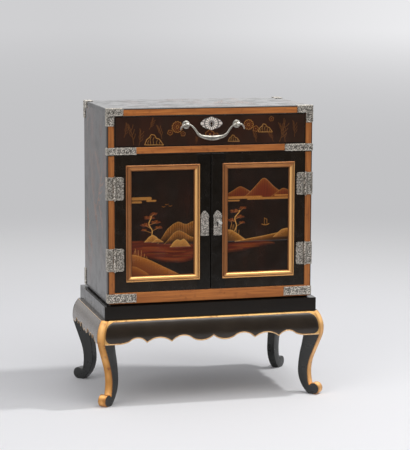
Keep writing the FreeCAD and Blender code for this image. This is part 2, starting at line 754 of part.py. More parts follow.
def build_mounts():
    outer = half_width + s.mount_plate
    face = (front - s.mount_plate, front)
    wrap_y = (front - s.mount_plate, front + s.mount_wrap)
    top_plate = (case_high, case_high + s.mount_plate)

    def top_corner(side):
        heights = (case_high - s.corner_drop, case_high + s.mount_plate)
        run = on_side(side, half_width - s.corner_run, outer)
        return fuse(
            board(run, face, (drawer_line_high, case_high + s.mount_plate)),
            board(on_side(side, opening, outer), face, heights),
            board(on_side(side, half_width, outer), wrap_y, heights),
            board(run, wrap_y, top_plate),
        )

    def strap(run_length, heights):
        def make(side):
            return fuse(
                board(on_side(side, half_width - run_length, outer), face, heights),
                board(on_side(side, half_width, outer), wrap_y, heights),
            )
        return make

    def back_corner(side, heights, along_top):
        back_face = (half_depth, half_depth + s.mount_plate)
        side_run = (half_depth - s.back_mount_run, half_depth + s.mount_plate)
        side_wrap = (half_depth - s.mount_wrap, half_depth + s.mount_plate)
        upright = board(on_side(side, half_width, outer), side_wrap, heights)
        behind = board(on_side(side, half_width - s.mount_wrap, outer), back_face, heights)
        if not along_top:
            return fuse(upright, behind)
        band = (case_high - s.mount_wrap, case_high + s.mount_plate)
        return fuse(
            upright, behind,
            board(on_side(side, half_width, outer), side_run, band),
            board(on_side(side, half_width - s.mount_wrap, outer), side_run, top_plate),
        )

    sub_part("top_corner_mounts", pair(top_corner))
    sub_part("rail_straps", pair(strap(s.rail_strap_run, (door_line_high, drawer_line_low))))
    strap_low = case_low + (s.bottom_rail - s.foot_strap_height) / 2
    sub_part("foot_straps", pair(strap(s.foot_strap_run, (strap_low, strap_low + s.foot_strap_height))))
    high = (case_high - s.back_mount_drop, case_high + s.mount_plate)
    low = (case_low, case_low + s.back_mount_drop)
    sub_part("back_corner_mounts", group(
        *(back_corner(side, high, True) for side in (LEFT, RIGHT)),
        *(back_corner(side, low, False) for side in (LEFT, RIGHT)),
    ))


def keyhole(x, y, z):
    """The hole for a key, as a block to cut away along y."""
    return fuse(
        rod("y", s.key_radius, y, (x, z)),
        board((x - s.key_slot / 2, x + s.key_slot / 2), y, (z - s.key_length, z)),
    )


def keyhole_sketch(body, z=0):
    neck = root(s.key_radius * s.key_radius - s.key_slot * s.key_slot / 4)
    half_slot = s.key_slot / 2
    return outline(
        sketch_on(body, "XZ_Plane"),
        line(-half_slot, z - s.key_length),
        line(half_slot, z - s.key_length),
        line(half_slot, z - neck),
        arc(-half_slot, z - neck, s.key_radius, long=True),
    )


def drawer_lock_y():
    return (drawer_face_back - s.lock_depth, drawer_face_back)


def drawer_bolt_y():
    middle = drawer_face_back - s.lock_depth / 2
    return (middle - s.bolt_thickness / 2, middle + s.bolt_thickness / 2)


def drawer_bolt_slot():
    low, high = drawer_bolt_y()
    return (low - s.bolt_play, high + s.bolt_play)


def drawer_bolt_top():
    """Where the thrown bolt's end stands."""
    return drawer_line_high - s.drawer_gap - s.bolt_sink + s.bolt_throw


def build_drawer():
    high = drawer_line_high - s.drawer_gap
    side_high = drawer_low + s.drawer_side_height
    side_inner = drawer_half - s.drawer_side
    floor_z = (drawer_low + s.drawer_floor_rise, drawer_low + s.drawer_floor_rise + s.drawer_floor)
    floor_half = side_inner + s.drawer_groove
    back_y = inside_back - s.drawer_stop_gap
    lap_y = drawer_face_back - s.drawer_lap
    lock_z = (keyhole_z - s.lock_below, keyhole_z + s.lock_above)
    lock_half = s.lock_width / 2
    slot_half = s.bolt_width / 2 + s.bolt_play
    bolt_low = drawer_bolt_top() - s.bolt_throw - s.bolt_length
    posts = both_ways(s.post_spacing / 2)
    shank_hole = s.shank_radius + s.shank_play

    face = eased(board(both_ways(drawer_half), (front, drawer_face_back), (drawer_low, high)))
    laps = [
        board(on_side(side, side_inner, drawer_half), (lap_y, drawer_face_back), (drawer_low, side_high))
        for side in (LEFT, RIGHT)
    ]
    shank_holes = [rod("y", shank_hole, (front, drawer_face_back), (x, post_z)) for x in posts]
    sub_part("drawer_front", cut(
        face,
        *laps,
        *shank_holes,
        board(both_ways(floor_half), (drawer_face_back - s.drawer_groove, drawer_face_back), floor_z),
        board(both_ways(lock_half), drawer_lock_y(), lock_z),
        board(both_ways(slot_half), drawer_bolt_slot(), (lock_z[1], high)),
        keyhole(as_size(0), (front, drawer_face_back), keyhole_z),
    ))
    sides = []
    for side in (LEFT, RIGHT):
        sides.append(cut(
            eased(board(on_side(side, side_inner, drawer_half), (lap_y, back_y), (drawer_low, side_high))),
            board(on_side(side, side_inner, floor_half), (lap_y, back_y), floor_z),
        ))
    sub_part("drawer_sides", group(*sides))
    sub_part("drawer_back", board(
        both_ways(side_inner), (back_y - s.drawer_side, back_y), (floor_z[1], side_high)))
    sub_part("drawer_bottom", board(
        both_ways(floor_half), (drawer_face_back - s.drawer_groove, back_y), floor_z))
    channel = board(both_ways(slot_half), drawer_bolt_slot(), (bolt_low - s.bolt_play, lock_z[1]))
    sub_part("drawer_lock", cut(
        board(both_ways(lock_half), drawer_lock_y(), lock_z),
        channel,
        keyhole(as_size(0), drawer_lock_y(), keyhole_z),
    ))
    sub_part("drawer_lock_bolt", board(
        both_ways(s.bolt_width / 2), drawer_bolt_y(), (bolt_low, bolt_low + s.bolt_length)))


def build_escutcheon():
    """The drawer's keyhole plate: a lobed lozenge with pointed ends."""
    body = new_body()
    tip = s.escutcheon_width / 2
    lobe_z = root(s.escutcheon_radius * s.escutcheon_radius - s.escutcheon_lobe * s.escutcheon_lobe)
    lobe_z = s.escutcheon_height / 2 - s.escutcheon_radius + lobe_z
    shoulder_x, shoulder_z = s.escutcheon_shoulder, s.escutcheon_shoulder_rise
    lobe_x, bend, tip_bend = s.escutcheon_lobe, s.escutcheon_radius, s.escutcheon_tip_radius
    plate = outline(
        sketch_on(body, "XZ_Plane"),
        arc(tip, 0, tip_bend),
        arc(shoulder_x, shoulder_z, tip_bend),
        arc(lobe_x, lobe_z, bend),
        arc(-lobe_x, lobe_z, bend),
        arc(-shoulder_x, shoulder_z, bend),
        arc(-tip, 0, tip_bend),
        arc(-shoulder_x, -shoulder_z, tip_bend),
        arc(-lobe_x, -lobe_z, bend),
        arc(lobe_x, -lobe_z, bend),
        arc(shoulder_x, -shoulder_z, bend),
    )
    pad(body, plate, s.escutcheon_plate)
    pocket_through(body, keyhole_sketch(body))
    sub_part("drawer_escutcheon", put(body, 0, front, keyhole_z))


def handle_post(x):
    """A turned post: rosette, neck and pierced ball outside, shank through the drawer front."""
    body = new_body()
    neck_top = s.post_reach - root(s.post_ball * s.post_ball - s.post_neck * s.post_neck)
    shank_end = -(s.drawer_face + s.shank_tail)
    rim = s.rosette_edge
    profile = outline(
        sketch_on(body, "XY_Plane"),
        line(0, shank_end),
        line(s.shank_radius, shank_end),
        line(s.shank_radius, 0),
        line(s.rosette_radius, 0),
        line(s.rosette_radius, rim),
        arc(s.post_neck, s.rosette_thickness, s.rosette_dome),
        line(s.post_neck, neck_top),
        arc(0, s.post_reach + s.post_ball, s.post_ball),
    )
    turned = body.newObject("PartDesign::Revolution", "Turned")
    turned.Profile = profile
    turned.ReferenceAxis = (profile, ["V_Axis"])
    turned.Angle = 360
    eye = sketch_on(body, "YZ_Plane")
    circle = eye.addGeometry(Part.Circle(Vector(s.post_reach.value, 0, 0), UP, s.bail_rod.value), False)
    dimension(eye, "DistanceX", -1, 1, circle, 3, size=s.post_reach)
    eye.addConstraint(Sketcher.Constraint("PointOnObject", circle, 3, -1))
    dimension(eye, "Radius", circle, size=s.bail_rod + s.bail_play)
    pocket_through(body, eye)
    return put(body, x, front, post_z, turn=about(ACROSS, 180))


def bail_section(x, z, tilt, radius_across, radius_deep):
    """An oval across the bail's path. The path runs along +X, tilted downwards by so many degrees."""
    oval = doc.addObject("Part::Ellipse", "Section")
    bind(oval, "MajorRadius", radius_across)
    bind(oval, "MinorRadius", radius_deep)
    return put(oval, x, bail_y, post_z + z, turn=about(BACK, 90 + tilt))


def loft(sections):
    piece = doc.addObject("Part::Loft", "Loft")
    piece.Sections = sections
    piece.Solid = True
    return piece


def build_handle():
    """The drawer's handle: two posts, their nuts, and a swan-necked bail between them."""
    post_x = s.post_spacing / 2
    sub_part("handle_posts", group(*(handle_post(x) for x in both_ways(post_x))))
    nut_y = (drawer_face_back, drawer_face_back + s.nut_thickness)
    hole = s.shank_radius + s.shank_play
    sub_part("handle_nuts", group(*(
        cut(rod("y", s.nut_radius, nut_y, (x, post_z)), rod("y", hole, nut_y, (x, post_z)))
        for x in both_ways(post_x)
    )))
    inner_x = post_x - s.post_ball - s.bail_clear
    outer_x = post_x + s.post_ball + s.bail_clear
    thin = s.bail_rod
    bend_x = inner_x - s.bail_bend_in
    neck_x = (bend_x + s.bail_end) / 2
    neck_z = -(thin + s.bail_end_drop) / 2
    half_path = [
        (inner_x, as_size(0), 0, thin, thin),
        (bend_x, -s.bail_bend_drop, BAIL_BEND_TILT, thin, thin),
        (neck_x, neck_z, BAIL_NECK_TILT, s.bail_neck, s.bail_neck_depth),
        (s.bail_end, -s.bail_end_drop, BAIL_END_TILT, s.bail_end_grip, s.bail_end_depth),
        (s.bail_end / 2, -s.bail_side_drop, BAIL_SIDE_TILT, s.bail_side_grip, s.bail_grip_depth),
    ]
    left = [bail_section(-x, z, tilt, *oval) for x, z, tilt, *oval in half_path]
    middle = bail_section(as_size(0), -s.bail_drop, 0, s.bail_grip, s.bail_grip_depth)
    right = [bail_section(x, z, -tilt, *oval) for x, z, tilt, *oval in reversed(half_path)]
    pieces = [loft([*left, middle, *right])]
    for side in (LEFT, RIGHT):
        pieces.append(rod("x", thin, on_side(side, inner_x, outer_x), (bail_y, post_z)))
        tail = [
            (outer_x, as_size(0), 0, thin),
            (outer_x + s.bail_tail_bend_out, -s.bail_tail_bend_drop, TAIL_BEND_TILT, s.bail_tail_bend),
            (outer_x + s.bail_tail_out, -s.bail_tail_drop, TAIL_TIP_TILT, s.bail_tip),
        ]
        pieces.append(loft([
            bail_section(side * x, z, side * tilt, radius, radius) for x, z, tilt, radius in tail
        ]))
    sub_part("bail_handle", fuse(*pieces))


def moulding_strip(half_length):
    """A mitred strip of the gilt moulding, its outer edge along X and its back on the XY plane."""
    body = new_body()
    bead_end = s.moulding_bead
    ovolo_start = bead_end + s.moulding_quirk
    ovolo_end = s.moulding_width - s.moulding_toe
    section = outline(
        sketch_on(body, "YZ_Plane"),
        line(0, 0),
        line(0, s.moulding_edge),
        arc(bead_end, s.moulding_edge, s.moulding_bead_radius, left=False),
        line(ovolo_start, s.moulding_edge),
        line(ovolo_start, s.moulding_step),
        arc(ovolo_end, -s.moulding_toe_sink, s.moulding_ovolo_radius, left=False),
        line(s.moulding_width, -s.moulding_toe_sink),
        line(s.moulding_width, -s.panel_recess),
        line(s.moulding_seat, -s.panel_recess),
        line(s.moulding_seat, 0),
    )
    pad(body, section, 2 * half_length, symmetric=True)
    mitres = sketch_on(body, "XY_Plane")
    width = s.moulding_width
    for side in (LEFT, RIGHT):
        outline(
            mitres,
            line(side * (half_length + width), -width),
            line(side * (half_length - 2 * width), 2 * width),
            line(side * (half_length + width), 2 * width),
        )
    pocket_through(body, mitres)
    return body


def door_moulding(x, z):
    """Four strips round the panel, within the given outer edges."""
    (low_x, high_x), (low_z, high_z) = x, z
    middle_x, middle_z = (low_x + high_x) / 2, (low_z + high_z) / 2
    flat = about(ACROSS, 90)
    edges = [
        (middle_x, low_z, (high_x - low_x) / 2, 0),
        (low_x, middle_z, (high_z - low_z) / 2, 90),
        (middle_x, high_z, (high_x - low_x) / 2, 180),
        (high_x, middle_z, (high_z - low_z) / 2, 270),
    ]
    return group(*(
        put(moulding_strip(half), x, front, z, turn=about(BACK, angle) * flat) for x, z, half, angle in edges
    ))


def build_door(side, name):
    near = s.meeting_gap / 2
    far = opening - s.hinge_gap
    low, high = door_line_low + s.door_play, door_line_high - s.door_play
    stile_width = s.moulding_margin + s.moulding_seat
    rail_height = s.moulding_margin_end + s.moulding_seat
    thick = (front, door_back)
    panel_y = (front + s.panel_recess, front + s.panel_recess + s.panel)
    inner_near, inner_far = near + stile_width, far - stile_width
    panel_x = on_side(side, inner_near - s.panel_groove, inner_far + s.panel_groove)

    hinge_stile = cut(
        eased(board(on_side(side, inner_far, far), thick, (low, high))),
        board(on_side(side, inner_far, inner_far + s.panel_groove), panel_y, (low, high)),
    )
    sub_part(f"{name}_door_hinge_stile", hinge_stile)
    meeting_board = eased(board(on_side(side, near, inner_near), thick, (low, high)))
    meeting_groove = board(on_side(side, inner_near - s.panel_groove, inner_near), panel_y, (low, high))
    bolt_z = both_from(plate_middle, s.door_bolt_height / 2 + s.bolt_play)
    if side == RIGHT:
        cuts = [
            board((near + s.door_lock_edge, near + s.door_lock_edge + s.door_lock_width), door_lock_y(),
                  both_from(plate_middle, s.door_lock_height / 2)),
            board((near, near + s.door_lock_edge), door_bolt_slot(), bolt_z),
            keyhole(door_keyhole_x(), (front, door_back), plate_middle),
        ]
    else:
        reach = s.bolt_throw - s.bolt_sink - s.meeting_gap + s.strike_spare
        cuts = [board((-(near + reach), -near), door_bolt_slot(), bolt_z)]
    sub_part(f"{name}_door_meeting_stile", cut(meeting_board, meeting_groove, *cuts))

    rails = []
    for inner_z, outer_z, direction in ((low + rail_height, low, -1), (high - rail_height, high, 1)):
        groove_z = sorted_span(inner_z, inner_z + direction * s.panel_groove)
        rail_z = sorted_span(inner_z, outer_z)
        rail = fuse(
            board(on_side(side, inner_near, inner_far), thick, rail_z),
            board(panel_x, panel_y, rail_z),
        )
        rails.append(cut(rail, board(panel_x, panel_y, groove_z)))
    sub_part(f"{name}_door_rails", group(*rails))
    panel_z = (low + rail_height - s.panel_groove, high - rail_height + s.panel_groove)
    sub_part(f"{name}_door_panel", board(panel_x, panel_y, panel_z))
    sub_part(f"{name}_door_moulding", door_moulding(
        on_side(side, near + s.moulding_margin, far - s.moulding_margin),
        (low + s.moulding_margin_end, high - s.moulding_margin_end),
    ))


def door_lock_y():
    return (door_back - s.lock_depth, door_back)


def door_bolt_slot():
    middle = door_back - s.lock_depth / 2
    return both_from(middle, s.bolt_thickness / 2 + s.bolt_play)


def door_keyhole_x():
    return s.meeting_gap / 2 + s.plate_inset + s.plate_width / 2


def build_door_lock():
    """The lock let into the right door, with a bolt that shoots into the left door."""
    near = s.meeting_gap / 2
    case_x = (near + s.door_lock_edge, near + s.door_lock_edge + s.door_lock_width)
    bolt_low = near + s.bolt_sink
    bolt_high = bolt_low + s.door_bolt_length
    channel_z = both_from(plate_middle, s.door_bolt_height / 2 + s.bolt_play)
    sub_part("door_lock", cut(
        board(case_x, door_lock_y(), both_from(plate_middle, s.door_lock_height / 2)),
        board((case_x[0], bolt_high + s.bolt_play), door_bolt_slot(), channel_z),
        keyhole(door_keyhole_x(), door_lock_y(), plate_middle),
    ))
    middle = door_back - s.lock_depth / 2
    sub_part("door_lock_bolt", board(
        (bolt_low, bolt_high), both_from(middle, s.bolt_thickness / 2),
        both_from(plate_middle, s.door_bolt_height / 2)))


def lock_plate(body):
    """An upright plate with a pointed arch, round shoulders, a drawn-in waist and a curved foot."""
    half = s.plate_width / 2
    waist = half - s.plate_waist
    high = s.plate_height / 2
    spring = high - s.plate_arch
    waist_high = spring - s.plate_shoulder
    foot = -high + s.plate_waist
    waist_low = foot + s.plate_base
    return outline(
        sketch_on(body, "XZ_Plane"),
        arc(half, foot, s.plate_base_radius),
        arc(waist, waist_low, s.plate_flare, left=False),
        line(waist, waist_high),
        arc(half, spring, s.plate_shoulder, left=False),
        arc(0, high, s.plate_arch_radius),
        arc(-half, spring, s.plate_arch_radius),
        arc(-waist, waist_high, s.plate_shoulder, left=False),
        line(-waist, waist_low),
        arc(-half, foot, s.plate_flare, left=False),
    )


def build_lock_plates():
    left = new_body()
    pad(left, lock_plate(left), s.plate_thickness)
    sub_part("left_lock_plate", put(left, -door_keyhole_x(), front, plate_middle))

    right = new_body()
    pad(right, lock_plate(right), s.plate_thickness)
    pocket_through(right, keyhole_sketch(right))
    put(right, door_keyhole_x(), front, plate_middle)
    rivet_z = plate_middle + s.rivet_rise
    plate_face = front - s.plate_thickness
    head_y = plate_face - 2 * s.cover_play - s.cover_plate
    axis = (door_keyhole_x(), rivet_z)
    shank = rod("y", s.rivet_radius, (head_y, plate_face), axis)
    head = rod("y", s.rivet_head, (head_y - s.rivet_head_height, head_y), axis)
    sub_part("right_lock_plate", fuse(right, shank, head))

    cover = new_body()
    head_x, drop_x = s.cover_flank * s.cover_head, s.cover_flank * s.cover_drop
    head_z = -root(s.cover_head * s.cover_head - head_x * head_x)
    drop_z = root(s.cover_drop * s.cover_drop - drop_x * drop_x) - s.cover_length
    drop = outline(
        sketch_on(cover, "XZ_Plane"),
        line(head_x, head_z),
        arc(-head_x, head_z, s.cover_head, long=True),
        line(-drop_x, drop_z),
        arc(drop_x, drop_z, s.cover_drop, long=True),
    )
    pad(cover, drop, s.cover_plate)
    hole = sketch_on(cover, "XZ_Plane")
    circle = hole.addGeometry(Part.Circle(Vector(), UP, s.rivet_radius.value), False)
    hole.addConstraint(Sketcher.Constraint("Coincident", circle, 3, -1, 1))
    dimension(hole, "Radius", circle, size=s.rivet_radius + s.pin_play)
    pocket_through(cover, hole)
    put(cover, axis[0], plate_face - s.cover_play, axis[1], turn=about(BACK, -COVER_REST_ANGLE))
    sub_part("keyhole_cover", cover)


def hinge_heights(middle):
    """The three knuckles of a hinge from the lowest up, each with its own share of the height."""
    knuckle = (s.hinge_height - 2 * s.barrel_clear) / 3
    low = middle - s.hinge_height / 2
    step = knuckle + s.barrel_clear
    return [(low + index * step, low + index * step + knuckle) for index in range(3)]


def hinge_leaf(side, middle, on_door):
    """A leaf with its knuckles: the door's has the middle one, the case's the outer two."""
    plate_y = (front - s.hinge_plate, front)
    full = both_from(middle, s.hinge_height / 2)
    knuckles = hinge_heights(middle)
    own = knuckles[1:2] if on_door else [knuckles[0], knuckles[2]]
    clear = s.barrel_radius + s.barrel_clear
    if on_door:
        plate = board(on_side(side, opening - s.hinge_reach, opening - clear), plate_y, full)
        pieces = [rounded_end(plate, side)]
        tongue_x = on_side(side, opening - clear, opening)
    else:
        outer = half_width + s.hinge_plate
        wrap_y = (front - s.hinge_plate, front + s.mount_wrap)
        pieces = [
            board(on_side(side, opening + clear, outer), plate_y, full),
            board(on_side(side, half_width, outer), wrap_y, full),
        ]
        tongue_x = on_side(side, opening, opening + clear)
    axis = (side * opening, hinge_y)
    for heights in own:
        pieces.append(board(tongue_x, plate_y, heights))
        pieces.append(rod("z", s.barrel_radius, heights, axis))
    bores = [rod("z", s.pin_radius + s.pin_play, heights, axis) for heights in own]
    return cut(fuse(*pieces), *bores)


def rounded_end(plate, side):
    """The door leaf's plate with the two corners away from the pin rounded."""
    doc.recompute()
    end_x = side * (opening.value - s.hinge_reach.value)
    middle_y = plate.Shape.CenterOfMass.y
    piece = doc.addObject("Part::Fillet", "RoundedEnd")
    piece.Base = plate
    radius = s.hinge_corner.value
    centres = [edge.CenterOfMass for edge in plate.Shape.Edges]
    piece.Edges = [
        (number, radius, radius)
        for number, centre in enumerate(centres, start=1)
        if math.isclose(centre.x, end_x) and math.isclose(centre.y, middle_y)
    ]
    return piece


def build_hinges():
    middles = [door_middle - s.hinge_offset, door_middle + s.hinge_offset]
    for side, name in ((LEFT, "left"), (RIGHT, "right")):
        sub_part(f"{name}_hinge_door_leaves", group(*(hinge_leaf(side, z, True) for z in middles)))
    sub_part("hinge_case_leaves", group(*(
        hinge_leaf(side, z, False) for side in (LEFT, RIGHT) for z in middles
    )))
    pin_half = s.hinge_height / 2 + s.pin_tip
    sub_part("hinge_pins", group(*(
        rod("z", s.pin_radius, both_from(z, pin_half), (side * opening, hinge_y))
        for side in (LEFT, RIGHT) for z in middles
    )))


build_stand()
build_case()
build_cupboard()
build_mounts()
build_drawer()
build_escutcheon()
build_handle()
build_door(LEFT, "left")
build_door(RIGHT, "right")
build_door_lock()
build_lock_plates()
build_hinges()
doc.recompute()

for thing in doc.Objects:
    if "Invalid" in thing.State or "Error" in thing.State:
        raise RuntimeError(f"{thing.Name} ({thing.Label}) failed: {thing.State}")
for piece in sub_parts:
    if piece.Shape.isNull() or not piece.Shape.isValid() or not piece.Shape.Solids:
        raise RuntimeError(f"{piece.Label} has no valid solid")

os.makedirs("parts", exist_ok=True)
for piece in sub_parts:
    piece.Shape.exportStep(f"parts/{piece.Label}.step")
print(f"{len(sub_parts)} sub-parts, {sum(len(piece.Shape.Solids) for piece in sub_parts)} solids")
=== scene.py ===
# %% [markdown]
# # A lacquered cabinet on its stand
# The real object is a small lacquer cabinet: black polished boards, a front edged in worn gold
# lacquer, pale engraved metal mounts, gilt mouldings round two pictured doors, and a stand with
# bulging gilt-edged aprons on S-shaped legs. The solid model already has every board, hinge and
# lock in its place, so this script only dresses it: finishes for the solids, and thin surfaces
# for what is painted, gilded or nailed on.

# %% Load the solid model
import json

import bpy
import numpy as np
from mathutils import Matrix, Vector


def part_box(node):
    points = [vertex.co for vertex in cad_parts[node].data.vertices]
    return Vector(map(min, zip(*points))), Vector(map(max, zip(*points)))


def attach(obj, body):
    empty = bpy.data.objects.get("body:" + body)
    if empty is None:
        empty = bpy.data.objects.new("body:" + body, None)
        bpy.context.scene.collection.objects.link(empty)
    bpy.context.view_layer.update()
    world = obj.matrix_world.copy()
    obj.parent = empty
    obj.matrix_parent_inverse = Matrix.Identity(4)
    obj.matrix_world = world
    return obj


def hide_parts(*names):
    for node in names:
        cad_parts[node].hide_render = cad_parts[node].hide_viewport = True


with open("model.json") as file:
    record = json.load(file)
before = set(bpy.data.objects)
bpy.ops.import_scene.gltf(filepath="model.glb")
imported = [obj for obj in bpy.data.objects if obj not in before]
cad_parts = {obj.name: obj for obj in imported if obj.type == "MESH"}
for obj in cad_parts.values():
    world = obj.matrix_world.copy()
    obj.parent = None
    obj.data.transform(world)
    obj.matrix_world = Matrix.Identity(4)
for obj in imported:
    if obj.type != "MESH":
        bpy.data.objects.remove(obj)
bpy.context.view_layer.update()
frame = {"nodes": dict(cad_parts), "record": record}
MM = 0.001
scene = bpy.context.scene

# %% [markdown]
# ## Meshes from arrays
# Nearly every added surface is a grid: a row of points for each step along one parameter and a
# column for each step along the other. Quads then join neighbouring points. Working on whole
# arrays is fast and keeps each shape's formula in one place. So a few small helpers are enough:
# they number the quads, close a thin sheet, make the mesh, and give a point its painted value.


# %% Grid helpers
def grid_quads(rows, columns, start=0, round_columns=False, round_rows=False):
    """Quads between neighbours of a rows x columns grid; a round way joins its last line to its first."""
    index = np.arange(rows * columns).reshape(rows, columns) + start
    if round_columns:
        index = np.hstack([index, index[:, :1]])
    if round_rows:
        index = np.vstack([index, index[:1]])
    corners = [index[:-1, :-1], index[:-1, 1:], index[1:, 1:], index[1:, :-1]]
    return np.stack(corners, -1).reshape(-1, 4)


def rim_of(rows, columns):
    """Numbers of a grid's border points, once round."""
    index = np.arange(rows * columns).reshape(rows, columns)
    return np.concatenate([index[0, :-1], index[:-1, -1], index[-1, :0:-1], index[:0:-1, 0]])


def closed_sheet(front, back):
    """A thin body between two grids: the front, the back turned round, and a wall along their rims."""
    rows, columns = front.shape[:2]
    rim = rim_of(rows, columns)
    behind = rim + rows * columns
    wall = np.stack([rim, behind, np.roll(behind, -1), np.roll(rim, -1)], 1)
    quads = grid_quads(rows, columns)
    points = np.vstack([front.reshape(-1, 3), back.reshape(-1, 3)])
    return points, np.vstack([quads, quads[:, ::-1] + rows * columns, wall])


def unit(vectors):
    """Each vector divided by its length."""
    return vectors / np.linalg.norm(vectors, axis=-1, keepdims=True)


print("quads in a grid of 3 x 4 points:", len(grid_quads(3, 4)))


# %% Pieces, painted values and soft steps
def make_piece(name, points, faces, finishes, body, slot, crease=50, stands_for=()):
    """A named mesh that rides on a body. Edges sharper than crease degrees stay crisp."""
    mesh = bpy.data.meshes.new(name)
    mesh.from_pydata(np.asarray(points, float).tolist(), [], [list(map(int, face)) for face in faces])
    mesh.polygons.foreach_set("use_smooth", np.full(len(mesh.polygons), True))
    mesh.set_sharp_from_angle(angle=np.radians(crease))
    for finish in finishes:
        mesh.materials.append(finish)
    mesh.update()
    piece = bpy.data.objects.new(name, mesh)
    scene.collection.objects.link(piece)
    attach(piece, body)
    if stands_for:
        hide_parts(*stands_for)
    print(f"{name}: {len(mesh.vertices)} points on {body}")
    return piece


def paint(piece, **values):
    """Write one number per point under each name, for the finish to read."""
    for name, numbers in values.items():
        layer = piece.data.attributes.new(name, "FLOAT", "POINT")
        layer.data.foreach_set("value", np.asarray(numbers, np.float32).ravel())


def smoothstep(low, high, value):
    """0 below low, 1 above high, and an even S-curve between them."""
    t = np.clip((value - low) / (high - low), 0, 1)
    return t * t * (3 - 2 * t)


print("a third up a soft step:", smoothstep(0, 3, 1))

# %% [markdown]
# ## Finishes
# Each finish is a small tree of shader nodes. Colours are picked as sRGB hex values and turned to
# linear numbers once, because the shader works in linear light. One helper adds a node: settings
# go on the node itself, and each input is a number, a hex colour or what an earlier node gives.


# %% Colour and node helpers
def hex_colour(text):
    """sRGB hex to linear RGBA."""
    srgb = np.array([int(text[i:i + 2], 16) for i in (1, 3, 5)]) / 255
    linear = np.where(srgb <= 0.04045, srgb / 12.92, ((srgb + 0.055) / 1.055) ** 2.4)
    return (*linear.tolist(), 1.0)


def plug(tree, node, inputs):
    """Fill a node's inputs: a socket or another node's first output is linked, any other is a value."""
    for key, value in inputs.items():
        if isinstance(value, bpy.types.Node):
            value = next(output for output in value.outputs if output.enabled)
        if isinstance(value, bpy.types.NodeSocket):
            tree.links.new(value, node.inputs[key])
        else:
            node.inputs[key].default_value = hex_colour(value) if isinstance(value, str) else value


def add(tree, kind, inputs=(), **settings):
    """Add a node with its settings and its inputs."""
    made = tree.nodes.new("ShaderNode" + kind)
    for name, value in settings.items():
        setattr(made, name, value)
    plug(tree, made, dict(inputs))
    return made


def new_finish(name):
    """An empty node tree with its Principled shader, and the piece's own coordinates."""
    finish = bpy.data.materials.new(name)
    finish.use_nodes = True
    tree = finish.node_tree
    place = add(tree, "TexCoord").outputs["Object"]
    return finish, tree, tree.nodes["Principled BSDF"], place


def per_metre(size_mm):
    """The texture scale at which one feature is about so many millimetres wide."""
    return 1 / (size_mm * MM)


# A Mix node of colours has its factor at input 0 and its colours at 6 and 7. A Map Range node takes
# its Value from the span 1 to 2 to the span 3 to 4.
COLOURS = {"data_type": "RGBA"}
SMOOTH = {"interpolation_type": "SMOOTHSTEP"}
LACQUER_IOR = 1.5
print("black in linear light:", hex_colour("#0f0c08"))

# %% [markdown]
# ## Black lacquer
# Roiro lacquer is tree sap polished to a mirror on wood. It is nearly black with a brown warmth,
# has the gloss of a clear varnish (IOR about 1.5), and shows faint waves and dull patches from
# age, which break up its reflections. Noise at a few sizes gives those three things.


# %% Black lacquer
def lacquer(name, dark, light, polish, wear=0.12, gloss=0.5):
    """Near-black that drifts between two tones, brown by the point value edge; wear dulls and waves it."""
    finish, tree, shader, place = new_finish(name)
    cloud = add(tree, "TexNoise", {"Vector": place, "Scale": per_metre(45), "Detail": 4.0})
    tone = add(tree, "Mix", {0: cloud, 6: dark, 7: light}, **COLOURS)
    edge = add(tree, "Attribute", attribute_name="edge").outputs["Fac"]
    colour = add(tree, "Mix", {0: edge, 6: tone, 7: "#5e371c"}, **COLOURS)
    rubbed_and_lit = add(tree, "TexNoise", {"Vector": place, "Scale": per_metre(16), "Detail": 2.0})
    dull = add(tree, "MapRange", {"Value": rubbed_and_lit, 1: 0.35, 2: 0.7, 3: polish, 4: polish + wear})
    wave = add(tree, "TexNoise", {"Vector": place, "Scale": per_metre(34), "Detail": 1.0})
    bump = add(tree, "Bump", {"Height": wave, "Strength": wear, "Distance": 0.3 * MM})
    plug(tree, shader, {"Base Color": colour, "Roughness": dull, "Normal": bump, "IOR": LACQUER_IOR,
                        "Specular IOR Level": gloss})
    return finish


black_lacquer = lacquer("black_roiro_lacquer", "#0f0c08", "#1c1610", 0.17)
stand_lacquer = lacquer("worn_black_lacquer_on_stand", "#201a14", "#352c23", 0.21, 0.06)
# The side and back aprons take a paler grey lacquer: a painted sheen for the pale surround that their lacquer
# mirrors.
painted_sheen_lacquer = lacquer("paler_black_lacquer_as_painted_sheen_on_side_aprons", "#524a42", "#73695f", 0.19, 0.07)
leg_lacquer = lacquer("worn_black_lacquer_on_legs", "#191918", "#2d2e2d", 0.26)
rail_lacquer = lacquer("black_lacquer_on_stand_rail", "#0f0b07", "#1b140d", 0.14, 0.06, 0.34)
door_lacquer = lacquer("browned_lacquer_on_doors", "#150f09", "#261d13", 0.18)
print("nodes in a lacquer:", len(black_lacquer.node_tree.nodes))

# %% [markdown]
# ## Worn gold lacquer
# The stiles and rails round the drawer and doors are covered in gold lacquer over wood. It has
# lost its sparkle, so it reads as a warm orange brown with streaks along the grain and darker
# rubbed places. Stretching noise along the board gives the streaks. Only the front is gold: the
# outer edges are dark, by their place on the case, and the line over the doors is a painted
# shadow of the gap there. The uprights are painted darker than the level boards, as painted shade.

# %% Gold lacquer on the front's edges
EDGE_BAND, EDGE_FADE = 2.0 * MM, 0.5 * MM
CASE_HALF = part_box("front_stile_right")[1][0]
CASE_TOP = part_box("front_rail_top")[1][2]
DOOR_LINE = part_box("front_rail_middle")[0][2]


